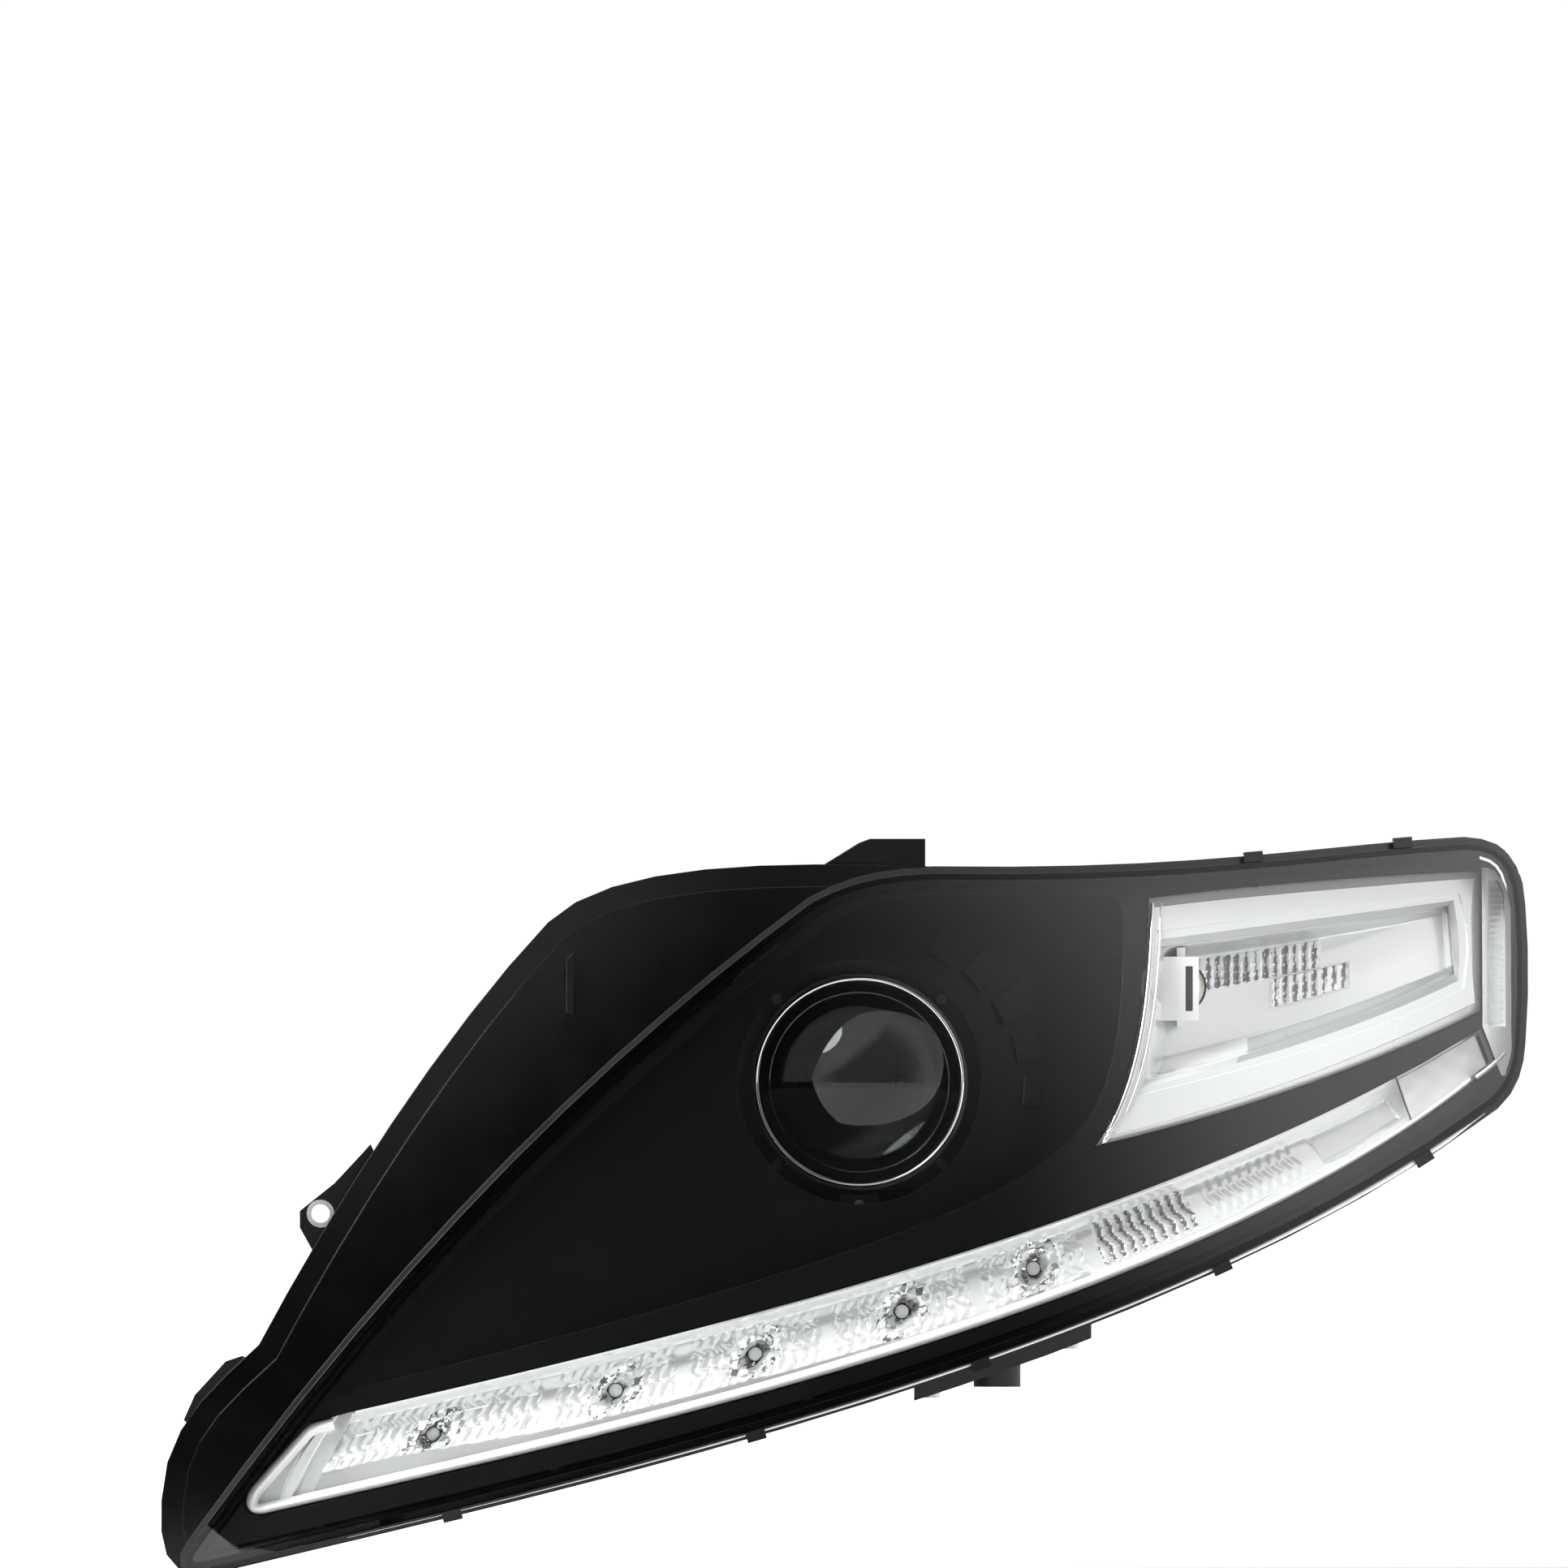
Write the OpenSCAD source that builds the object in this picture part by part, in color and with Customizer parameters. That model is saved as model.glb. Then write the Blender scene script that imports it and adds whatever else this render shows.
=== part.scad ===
// Car headlight assembly for the left front corner of a car.
// X runs outboard, Y runs rearward, Z runs up, in millimetres.
// Shapes are drawn about the low beam optical axis and then placed on the upper mounting bolt.

/* [Lamp form] */
// Radius of the spherical front form that the cover, bezel and housing follow
form_radius = 560; // [540:10:600]
// Wall of the clear cover
cover_wall = 2.6; // [2.4:0.1:3]
// Wall of the housing
housing_wall = 3; // [2.5:0.5:3.5]
// Gap from the cover's outer face to the black bezel
bezel_gap = 11; // [10:0.5:12]

/* [Projector] */
// Radius of the clear glass in the projector
glass_r = 36.2; // [35.8:0.1:36.2]
// Outer radius of the chrome ring round the glass
ring_r = 38; // [38:0.1:38.6]
// Radius of the bezel opening that the projector looks through
shroud_r = 44; // [43.5:0.5:46]

/* [Aim] */
// Height of the levelling rod below the aim pivot
level_arm = 72; // [70:1:74]
// Distance of the sideways aim screw from the swivel axis
swivel_arm = 54; // [53:0.5:55]

/* [Mounting] */
// Bolt hole radius in the steel sleeves, for M6 bolts
bolt_r = 3.3; // [3.2:0.1:3.5]

/* [Hidden] */
$fn = 64;
form_fn = 256;            // facets of the large spheres in a preview
form_centre = [-165, form_radius - 26, -165];
far_front = -80;          // a plane in front of everything
far_back = 330;           // a plane behind everything
running = 0.05;           // radial gap of a shaft in its bore
touch = 0.1;              // gap between fixed pieces that nearly meet

rim = 2.6;                // housing lip outside the cover
groove_in = 3;            // inner side of the sealing groove, from the cover's edge
ledge_in = 4.4;           // inner side of the housing's sealing ledge
housing_front = 18;       // depth of the housing's front face behind the form
cover_rim = 24;           // depth of the cover's rear edge behind the form
bezel_t = 2.2;            // bezel thickness
bezel_back = bezel_gap + bezel_t;

pivot = [0, 127, 0];      // where the aim axis and the swivel axis cross
back_y = 214;             // outer face of the housing's rear wall
mount_at = [12, 158, 88]; // upper bolt hole, top face of its sleeve
inner_ear = [-194, 52, -47];
outer_ear = [212, 284, 86];
foot_hole = [50, 118, -106];
sleeve_r = 5;             // outer radius of the bolt sleeves
sleeve_h = 8;

turn_at = [116, 34];      // indicator bulb axis, X and Z
turn_neck_y = 158.5;      // rear end of the indicator reflector's neck
side_at = [209, 0];       // position bulb axis, X and Z
side_neck_y = 213;        // rear end of the position reflector's neck
cap2_at = [120, 34];      // axis of the smaller rear cap, X and Z
cap2_wall_y = 234;        // outer face of the wall round the smaller cap
motor_at = [-34, -level_arm];
adjust_at = [swivel_arm, -20];
driver_box = [[2, 214.1, -84], [46, 230, -54]];
plug_at = [-68, 44];      // main connector, X and Z

// ---------- curves and outlines, in the X-Z plane ----------

// n points of a cubic curve from a towards d, leaving d to the next stretch
function cubic(a, b, c, d, n) = [for (i = [0:n - 1]) let (t = i / n, u = 1 - t)
    u * u * u * a + 3 * u * u * t * b + 3 * u * t * t * c + t * t * t * d];

// one point of a cubic whose four control points are in p
function on(p, t) = let (u = 1 - t)
    u * u * u * p[0] + 3 * u * u * t * p[1] + 3 * u * t * t * p[2] + t * t * t * p[3];

// point that lies `inset` inside the cover's edge p, at t along it
function inside(p, t, inset) = let (d = on(p, t + 0.005) - on(p, t - 0.005))
    on(p, t) + inset * [-d[1], d[0]] / norm(d);

// depth Y of the front form, d behind the cover's outer face
function form_y(x, z, d) = form_centre[1] - sqrt(pow(form_radius - d, 2)
    - pow(x - form_centre[0], 2) - pow(z - form_centre[2], 2));

lens_low = [[-236, -174.5], [-100, -142], [110, -97], [230, -8]];
lens_top = [[220, 86], [165, 83], [125, 74], [27, 75.5]];
lens_side = [[-17, 65], [-85, 15], [-160, -55], [-240, -166]];
lens_outline = concat(
    cubic(lens_low[0], lens_low[1], lens_low[2], lens_low[3], 16),
    cubic([230, -8], [237, -2], [239, 6], [239.5, 14], 4),
    cubic([239.5, 14], [241, 30], [241, 50], [239.8, 64], 3),
    cubic([239.8, 64], [239, 80], [233, 85.5], [220, 86], 6),
    cubic(lens_top[0], lens_top[1], lens_top[2], lens_top[3], 10),
    cubic([27, 75.5], [8, 75], [-4, 72], [-17, 65], 5),
    cubic(lens_side[0], lens_side[1], lens_side[2], lens_side[3], 12),
    cubic([-240, -166], [-244, -171], [-242, -176], [-236, -174.5], 4));

// black shoulder of the housing that sits under the bonnet edge
shoulder_outline = concat(
    cubic([27, 78], [-30, 80], [-90, 80], [-112, 58], 8),
    cubic([-112, 58], [-150, 18], [-190, -45], [-216, -94], 8),
    cubic([-216, -94], [-236, -112], [-250, -125], [-251, -150], 5),
    cubic([-251, -150], [-252, -166], [-250, -177], [-236, -177], 4),
    [[-236, -177], [-180, -120], [0, 20]]);

dish_outline = concat(
    cubic([-186, -111], [-140, -50], [-80, 4], [-11, 57.5], 10),
    cubic([-11, 57.5], [2, 66], [14, 68], [30, 68], 4),
    cubic([30, 68], [60, 68.5], [80, 67.5], [90, 67], 2),
    cubic([90, 67], [94, 66.5], [95, 62], [95, 57], 3),
    cubic([95, 57], [95, 20], [93, -10], [70, -26], 8),
    cubic([70, -26], [40, -52], [-60, -80], [-186, -111], 12));

drl_low = [[-214, -155], [-80, -124], [125, -82], [230, 6]];
drl_high = [[-196, -121], [-60, -90], [112, -50], [225, 19]];
drl_mid = (drl_low + drl_high) / 2;

drl_outline = concat(
    cubic(drl_low[0], drl_low[1], drl_low[2], drl_low[3], 16),
    [[230, 6]],
    cubic(drl_high[3], drl_high[2], drl_high[1], drl_high[0], 16),
    [[-197, -121.6]],
    cubic([-218, -144], [-223, -150], [-221, -156], [-214, -155], 4));

turn_low = [[84.5, -23.5], [130, -13], [180, 3], [225.5, 25]];
turn_outline = concat(
    cubic([104, 66.5], [140, 71], [190, 75], [225, 76], 6),
    [[225, 76]],
    cubic(turn_low[3], turn_low[2], turn_low[1], turn_low[0], 8),
    cubic([84.5, -23.5], [97, -4], [103, 20], [104, 66.5], 6));

window_outline = concat(
    cubic([109, 48.5], [145, 53], [185, 58], [213, 63], 5),
    [[213, 63], [215, 38.5]],
    cubic([215, 38.5], [180, 22], [140, 9], [103, 0], 6),
    [[103, 0]]);

side_outline = concat([[227.2, 75]],
    cubic([227.2, 75], [231, 73], [233.6, 68], [234, 60], 3),
    [[234.5, 40], [233.4, 16], [231.5, 9.5], [227.2, 20]]);

// ---------- shared solids ----------

// pushes the X-Z drawing below it from y0 back to y1
module along_y(y0 = far_front, y1 = far_back)
    translate([0, y1, 0]) rotate([90, 0, 0]) linear_extrude(y1 - y0) children();

// everything d or more behind the cover's outer face
module form(d) translate(form_centre) sphere(r = form_radius - d, $fn = form_fn);

// the layer from d0 to d1 behind the cover's outer face, cut to the X-Z drawing below it
module skin(d0, d1) intersection() {
    difference() {
        form(d0);
        form(d1);
    }
    along_y() children();
}

// the recessed floor of the bezel round the projector, d behind its visible face
module dish(d) translate(form_centre + [-60, -1, 0]) sphere(r = form_radius - bezel_gap - d, $fn = form_fn);

// round bar along Y from y0 to y1 on the axis at = [x, z]
module bar(r, y0, y1, at = [0, 0])
    translate([at[0], y1, at[1]]) rotate([90, 0, 0]) cylinder(r = r, h = y1 - y0);

// round tube along Y
module tube(r0, r1, y0, y1, at = [0, 0]) difference() {
    bar(r1, y0, y1, at);
    bar(r0, y0 - 1, y1 + 1, at);
}

// turns a profile of [radius, y] points about the axis at = [x, z]
module turned(profile, at = [0, 0])
    translate([at[0], 0, at[1]]) rotate([-90, 0, 0]) rotate_extrude() polygon(profile);

// box from corner a to corner b
module block(a, b) translate(a) cube(b - a);

// pan head screw along Y: head ends at y, shank points to -Y
module screw_y(at, y, head_r = 3.6, shank_r = 1.75, length = 12) {
    bar(head_r, y, y + 2.4, at);
    bar(shank_r, y - length, y, at);
}

// pan head screw along Z with its head at the bottom
module screw_up(at, head_r = 3.6, shank_r = 1.75, length = 10) translate(at) {
    translate([0, 0, -2.4]) cylinder(r = head_r, h = 2.4);
    cylinder(r = shank_r, h = length);
}

// lays a drawing on edge p of the cover at t, its Y pointing inwards
module at_edge(p, t) let (d = on(p, t + 0.005) - on(p, t - 0.005))
    translate(on(p, t)) rotate(atan2(d[1], d[0])) children();

module lens_shape(grow) offset(delta = grow) polygon(lens_outline);

// front outline of the housing, shrunk by inset
module housing_shape(inset) offset(delta = -inset) union() {
    offset(delta = rim) polygon(lens_outline);
    polygon(shoulder_outline);
}

// ---------- housing ----------

plan_back = [[-262, far_front], [-262, 34], [-205, 62], [-150, 104], [-100, 150], [-88, back_y],
    [88, back_y], [91, cap2_wall_y], [150, cap2_wall_y], [196, 272], [252, 272], [252, far_front]];
tub_step = 14;            // how far the rear tub is set in from the front outline
shoulder_edge = 8;        // width of the lower band along the shoulder's edge
tray_depth = 62;          // depth where the front tray ends and the rear tub goes on
cap_r = 49;               // outer radius of the low beam collar
cap2_r = 27;              // outer radius of the smaller collar
vent_places = [[62, 42], [-62, -30]];
bezel_posts = [inside(lens_low, 0.1, 8), inside(lens_low, 0.28, 8), inside(lens_low, 0.46, 8),
    inside(lens_top, 0.705, 8), inside(lens_side, 0.2, 8), inside(lens_side, 0.72, 8)];
foot_x = [26, 76];        // the two pads that carry the lower foot

module tub(gap) intersection() {
    union() {
        skin(housing_front + 3 + gap, tray_depth - gap) housing_shape(gap);
        skin(housing_front + gap, tray_depth - gap) housing_shape(shoulder_edge + gap);
        intersection() {
            form(40);
            along_y() housing_shape(tub_step + gap);
        }
    }
    translate([0, 0, -200]) linear_extrude(320) offset(delta = -gap) polygon(plan_back);
}

module rear_ribs() {
    for (x = [-76, 76]) block([x - 1.2, back_y - 1, -50], [x + 1.2, back_y + 6, 22]);
    block([-50, back_y - 1, 55], [80, back_y + 6, 57.4]);
    for (a = [0, 180, 240, 300])
        translate([0, back_y - 1, 0]) rotate([0, a, 0]) translate([cap_r - 1, 0, -1.2]) cube([20, 9, 2.4]);
}

// stiffening ribs on the sloping back of the inboard nose
module nose_ribs() intersection() {
    along_y(0, back_y) housing_shape(tub_step);
    for (x = [-214:22:-104])
        translate([0, 0, -200]) linear_extrude(320)
            polygon([[x - 1.2, 30], [x + 1.2, 30], [x + 1.2, 240 + 0.8 * x], [x - 1.2, 240 + 0.8 * x]]);
}

module ears() {
    // upper ear, reaching back over the rear tub on two webs
    along_y(92, mount_at[1] + 12) polygon([[-17, 76], [0, 86.5], [4, 88], [24, 88], [24, 76]]);
    for (x = [0, 20]) block([x, 100, 58], [x + 3, mount_at[1] + 12, 78]);
    // inboard ear
    along_y(inner_ear[1] - sleeve_h, inner_ear[1])
        polygon([[-176, -22], [-189, -36], [-201.5, -46], [-201.5, -52],
            [-196, -62], [-180, -70], [-165, -45]]);
    // outboard rear ear
    block([outer_ear[0] - 13, 262, outer_ear[2] - sleeve_h],
        [outer_ear[0] + 13, outer_ear[1] + 11, outer_ear[2]]);
    // key that locates the nose in the grille surround
    along_y(6, 30)
        polygon([[-222, -98], [-228, -100], [-239, -112], [-243, -121], [-236, -128], [-214, -102]]);
}

module bosses() {
    for (at = bezel_posts)
        bar(4.4, form_y(at[0], at[1], tray_depth - 2), form_y(at[0], at[1], tray_depth) + 3, at);
    bar(8, back_y - 6, back_y + 3, adjust_at);
    bar(17.5, back_y - 2, back_y + 2.5, motor_at);
    bar(cap_r, back_y - 3, 234);
    bar(cap2_r, cap2_wall_y - 3, cap2_wall_y + 13, cap2_at);
    block([plug_at[0] - 15, back_y - 3, plug_at[1] - 11], [plug_at[0] + 15, back_y + 2, plug_at[1] + 11]);
    for (at = vent_places) bar(7.5, back_y - 3, back_y + 7, at);
    // pads for the lower foot
    intersection() {
        for (x = foot_x) block([x - 5, 92, -130], [x + 5, 134, -60]);
        along_y() difference() {
            housing_shape(0);
            housing_shape(tub_step + 1);
        }
        form(30);
    }
}

module housing() color("#151617") difference() {
    union() {
        difference() {
            union() {
                tub(0);
                nose_ribs();
                ears();
                rear_ribs();
                bosses();
            }
            tub(housing_wall);
        }
        skin(housing_front, 28) difference() {
            lens_shape(rim - 0.3);
            lens_shape(-ledge_in);
        }
    }
    // sealing groove for the cover, and the mouth behind it
    skin(10, 26) difference() {
        lens_shape(0.4);
        lens_shape(-groove_in);
    }
    skin(-5, 30) lens_shape(-ledge_in);
    // rear openings
    bar(45, back_y - 9, 236);
    bar(24, cap2_wall_y - 9, cap2_wall_y + 15, cap2_at);
    bar(14.2, back_y - 10, back_y + 5, motor_at);
    bar(3 + running, back_y - 10, back_y + 5, adjust_at);
    block([plug_at[0] - 12, back_y - 8, plug_at[1] - 8], [plug_at[0] + 12, back_y + 4, plug_at[1] + 8]);
    for (at = vent_places) bar(3, back_y - 6, back_y + 12, at);
    // screw holes
    for (at = bezel_posts) let (y = form_y(at[0], at[1], tray_depth)) bar(1.55, y - 12, y + 6, at);
    for (p = bracket_screw_at) bar(1.8, back_y - 10, back_y + 4, p);
    for (p = motor_screw_at) bar(1.8, back_y - 10, back_y + 4, p);
    for (p = driver_screw_at) bar(1.3, back_y - 10, back_y + 4, p);
    for (x = foot_x) translate([x, foot_hole[1], low_z(x) - 5]) cylinder(r = 1.8, h = 12.5);
    // holes for the bolt sleeves
    translate([mount_at[0], mount_at[1], 60]) cylinder(r = sleeve_r, h = 40);
    bar(sleeve_r, inner_ear[1] - 12, inner_ear[1] + 6, [inner_ear[0], inner_ear[2]]);
    translate([outer_ear[0], outer_ear[1], 60]) cylinder(r = sleeve_r, h = 40);
}

bracket_screw_at = [for (x = [-66, 66], z = [-16, 16]) [x, z]];
motor_screw_at = [for (a = [35, 215]) motor_at + 22 * [cos(a), sin(a)]];
driver_screw_at = [[6, -80], [42, -58]];

module sleeve(h) difference() {
    cylinder(r = sleeve_r - 0.05, h = h);
    translate([0, 0, -1]) cylinder(r = bolt_r, h = h + 2);
}

module mount_sleeves() color("#b9bcc0") {
    translate([mount_at[0], mount_at[1], 76]) sleeve(mount_at[2] - 76);
    translate([inner_ear[0], inner_ear[1], inner_ear[2]]) rotate([90, 0, 0]) sleeve(sleeve_h);
    translate([outer_ear[0], outer_ear[1], outer_ear[2] - sleeve_h]) sleeve(sleeve_h);
    translate([foot_hole[0], foot_hole[1], foot_hole[2] - 4]) sleeve(8);
}

// height of the housing's lower face at x, for the foot and its screws
function low_z(x) = let (t = lookup(x, [for (i = [0:40]) [on(lens_low, i / 40)[0], i / 40]]))
    on(lens_low, t)[1] - 3.1;

module lower_foot() color("#26282a") difference() {
    union() {
        intersection() {
            block([20, 98, -130], [84, 132, -60]);
            along_y() difference() {
                housing_shape(-5);
                housing_shape(-0.1);
            }
        }
        translate([foot_hole[0], foot_hole[1], foot_hole[2] - 4]) cylinder(r = 8.5, h = 8);
    }
    translate([foot_hole[0], foot_hole[1], -130]) cylinder(r = sleeve_r, h = 50);
    for (x = foot_x) {
        translate([x, foot_hole[1], -130]) cylinder(r = 1.8, h = 50);
        translate([x, foot_hole[1], low_z(x) - 16]) cylinder(r = 4.2, h = 12.6);
    }
}

module foot_screws() color("#b9bcc0")
    for (x = foot_x) screw_up([x, foot_hole[1], low_z(x) - 3.4]);

// ---------- cover and bezel ----------

clip_places = [[lens_low, 0.2], [lens_low, 0.42], [lens_low, 0.58], [lens_low, 0.76], [lens_low, 0.93],
    [lens_top, 0.14], [lens_top, 0.48]];

clip_w = 7;               // width of a clip along the cover's edge

module front_lens() color([0.9, 0.94, 0.97, 0.3]) {
    difference() {
        intersection() {
            along_y() lens_shape(0);
            form(0);
        }
        intersection() {
            along_y(far_front, far_back + 10) lens_shape(-cover_wall);
            form(cover_wall);
        }
        form(cover_rim);
    }
    // outer flange that closes on the housing
    skin(14.4, housing_front - touch) difference() {
        lens_shape(2.2);
        lens_shape(-1);
    }
}

module lens_seal() color("#202224") skin(cover_rim, 26) difference() {
    lens_shape(0.3);
    lens_shape(-groove_in + 0.1);
}

module lens_clips() color("#c5c8cc") for (c = clip_places) {
    skin(13, 36) at_edge(c[0], c[1]) translate([-clip_w / 2, -4]) square([clip_w, 1.1]);
    skin(13, 14.2) at_edge(c[0], c[1]) translate([-clip_w / 2, -4]) square([clip_w, 3.7]);
}

module bezel() color("#1b1c1e") {
    bezel_body();
    for (i = [0:4]) dish_step(53 + i * 1.6, 70 - i * 1.2, 52 - i * 15, 62 - i * 15);
}

module bezel_body() intersection() {
    form(bezel_gap);
    difference() {
        union() {
            difference() {
                along_y() lens_shape(-5.5);
                form(bezel_back);
            }
            difference() {
                along_y() difference() {
                    lens_shape(-5.5);
                    lens_shape(-7.5);
                }
                form(26);
            }
            // floor and side walls of the dish
            difference() {
                along_y() offset(delta = 2) polygon(dish_outline);
                dish(bezel_t);
            }
            // shroud tube round the projector
            intersection() {
                bar(shroud_r + 1.8, 20, 88);
                dish(1);
            }
            for (at = bezel_posts) difference() {
                bar(3.2, form_y(at[0], at[1], bezel_gap + 1), form_y(at[0], at[1], tray_depth), at);
                form(tray_depth - housing_wall - touch);
            }
        }
        // clear view over the dish and into the shroud
        difference() {
            along_y() polygon(dish_outline);
            dish(0);
        }
        bar(shroud_r, 0, 120);
        // openings for the strip, the indicator and the side reflector
        along_y() offset(delta = 0.3) polygon(drl_outline);
        difference() {
            along_y() {
                offset(delta = 0.3) polygon(turn_outline);
                polygon(side_outline);
            }
            form(14);
        }
        skin(bezel_back, 40) offset(delta = 1.4) polygon(side_outline);
        for (at = bezel_posts)
            bar(1.5, form_y(at[0], at[1], tray_depth) - 22, form_y(at[0], at[1], tray_depth) + 4, at);
    }
}

module bezel_screws() color("#b9bcc0") for (at = bezel_posts)
    screw_y(at, form_y(at[0], at[1], tray_depth) + 3, 2.9, 1.5 - 0.02, 20);

// one embossed step of the dish: a sector of a ring round the lens
module dish_step(r0, r1, a0, a1) intersection() {
    difference() {
        dish(-1.4);
        dish(0.8);
    }
    difference() {
        along_y() polygon(concat([for (i = [0:6]) let (a = a0 + (a1 - a0) * i / 6) r1 * [cos(a), sin(a)]],
            [for (i = [6:-1:0]) let (a = a0 + (a1 - a0) * i / 6) r0 * [cos(a), sin(a)]]));
        form(80);
    }
}

// ---------- daytime strip ----------

drl_t = [0.03, 0.215, 0.32, 0.43, 0.545, 0.635, 0.725, 0.82, 0.905];
drl_front = 15.2;
drl_floor = 28.4;
drl_back = 30;

// one cell of the strip between t0 and t1, shrunk by inset
module cell(t0, t1, inset) offset(delta = -inset) polygon(concat(
    [for (i = [0:4]) on(drl_low, t0 + (t1 - t0) * i / 4)],
    [for (i = [4:-1:0]) on(drl_high, t0 + (t1 - t0) * i / 4)]));

module position_end(gap) polygon([on(drl_low, 0.912) + [gap, -20], [262, -40], [262, 60],
    on(drl_high, 0.912) + [gap, 20], on(drl_high, 0.912) + [gap, 0], on(drl_low, 0.912) + [gap, 0]]);

module drl_reflector() color("#cfd2d6") difference() {
    skin(drl_front, drl_back) difference() {
        offset(delta = -0.2) polygon(drl_outline);
        position_end(-0.3);
    }
    for (i = [0:len(drl_t) - 2]) {
        skin(10, drl_floor) cell(drl_t[i], drl_t[i + 1], 1.6);
        skin(20, 34) translate(on(drl_mid, (drl_t[i] + drl_t[i + 1]) / 2)) circle(r = 2.9);
    }
    for (i = [1:len(drl_t) - 2]) skin(20, 34) translate(on(drl_mid, drl_t[i])) circle(r = 0.9);
}

// bright lip along the lower edge and up the inboard end
module drl_lip() color("#e6e8ea") skin(10.4, drl_front - touch) difference() {
    polygon(drl_outline);
    intersection() {
        translate([1, 4.8]) polygon(drl_outline);
        union() {
            translate([5.6, 0]) polygon(drl_outline);
            translate([-190, -140]) square([460, 200]);
        }
    }
}

module drl_board() color("#2d5f46") difference() {
    skin(drl_back + touch, drl_back + 1.7) polygon(concat(
        [for (i = [0:20]) on(drl_mid, 0.05 + 0.84 * i / 20) + [1, -7]],
        [for (i = [20:-1:0]) on(drl_mid, 0.05 + 0.84 * i / 20) + [-1, 7]]));
    for (i = [1:len(drl_t) - 2]) skin(20, 34) translate(on(drl_mid, drl_t[i])) circle(r = 1);
}

module board_screws() color("#b9bcc0") for (i = [1:len(drl_t) - 2]) {
    skin(22, drl_back + 2) translate(on(drl_mid, drl_t[i])) circle(r = 0.88);
    skin(drl_back + 1.75, drl_back + 3.2) translate(on(drl_mid, drl_t[i])) circle(r = 2);
}

module drl_leds() color("#f4e9b0") for (i = [0:len(drl_t) - 2])
    skin(drl_floor - 0.4, drl_back) translate(on(drl_mid, (drl_t[i] + drl_t[i + 1]) / 2))
        square(3.6, center = true);

module position_reflector() color("#d4d7da") difference() {
    union() {
        skin(drl_front, 33) intersection() {
            offset(delta = -0.2) polygon(drl_outline);
            position_end(0);
        }
        bar(7.2, 192, side_neck_y, side_at);
    }
    skin(10, 30) intersection() {
        offset(delta = -1.8) polygon(drl_outline);
        position_end(1.6);
    }
    bar(5.8, 160, side_neck_y + 1, side_at);
}

module position_holder() color("#8d9094") {
    bar(7.4, side_neck_y + touch, side_neck_y + 5, side_at);
    difference() {
        bar(5.6, side_neck_y - 5, side_neck_y + 2, side_at);
        bar(4.2, side_neck_y - 6, side_neck_y, side_at);
    }
    translate([side_at[0], side_neck_y + 9.5, side_at[1]]) rotate([0, 36, 0])
        cube([3.4, 10, 12.6], center = true);
    for (a = [36, 216]) translate([side_at[0], side_neck_y + 14, side_at[1]]) rotate([0, a, 0])
        translate([0, 0, 3]) cube([1.2, 8, 3.4], center = true);
}

module position_bulb() color([0.95, 0.97, 1, 0.5]) {
    intersection() {
        bar(4, 184, 204, side_at);
        union() {
            translate([side_at[0], 188, side_at[1]]) sphere(r = 4.05);
            bar(4.05, 188, 204, side_at);
        }
    }
    block([side_at[0] - 3.6, 203.5, side_at[1] - 1.3],
        [side_at[0] + 3.6, side_neck_y - touch, side_at[1] + 1.3]);
}

// ---------- indicator and side reflector ----------

turn_front = 12;
turn_back = 17;

module turn_frame() color("#c9ccd0") difference() {
    skin(turn_front, turn_back) offset(delta = -0.3) polygon(turn_outline);
    skin(turn_front - 4, turn_back + 4) polygon(window_outline);
    // hollow behind the face, between the window's collar and the outer edge
    skin(turn_front + 2.4, turn_back + 4) difference() {
        offset(delta = -2.2) polygon(turn_outline);
        offset(delta = 2) polygon(window_outline);
    }
}

module turn_reflector() color("#cfd2d6") difference() {
    union() {
        skin(turn_back + touch, turn_back + 2.4) offset(delta = -0.8) polygon(turn_outline);
        skin(turn_back + 1, 40) offset(delta = 3.2) polygon(window_outline);
        bar(14.4, 138, turn_neck_y, turn_at);
    }
    skin(10, 37.6) offset(delta = 1) polygon(window_outline);
    bar(12.2, 90, turn_neck_y + 1, turn_at);
}

shield_outline = [[105.3, 22], [122.4, 22], [122.4, 45], [108.2, 45]];

module turn_shield() color("#c9ccd0") {
    difference() {
        along_y(118, 121.8) polygon(shield_outline);
        along_y(119, 123) offset(delta = -0.9) polygon(shield_outline);
        block([117.6, 117, 25.4], [120.2, 120, 41.6]);
    }
    // two legs that reach back to the rim of the bulb hole
    for (s = [-1, 1])
        difference() {
            translate([turn_at[0], 135, turn_at[1] + s * 11.6]) cube([3, 28, 5.4], center = true);
            bar(9.2, 100, 160, turn_at);
            difference() {
                bar(20, 133, 160, turn_at);
                bar(12.1, 132, 161, turn_at);
            }
        }
}

module turn_holder() color("#55585c") {
    bar(14.4, turn_neck_y + touch, turn_neck_y + 4, turn_at);
    difference() {
        bar(12, turn_neck_y - 3, turn_neck_y + 1, turn_at);
        bar(8.6, turn_neck_y - 4, turn_neck_y - 0.5, turn_at);
    }
    bar(10, turn_neck_y + 3, turn_neck_y + 12, turn_at);
    translate([turn_at[0], turn_neck_y + 13, turn_at[1]]) cube([4, 14, 26], center = true);
    for (s = [-1, 1]) translate([turn_at[0] + s * 4, turn_neck_y + 16, turn_at[1]])
        cube([0.8, 10, 5], center = true);
}

module turn_bulb() color([0.95, 0.6, 0.15, 0.6]) {
    bar(8, 130, 146, turn_at);
    intersection() {
        bar(8, 118, 131, turn_at);
        translate([turn_at[0], 130.5, turn_at[1]]) sphere(r = 8.2);
    }
    bar(8.5, 146, turn_neck_y - 0.6, turn_at);
}

module side_reflector() color("#e2e4e6") skin(bezel_back + touch, bezel_back + 3) offset(delta = 1.2)
    polygon(side_outline);

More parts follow.
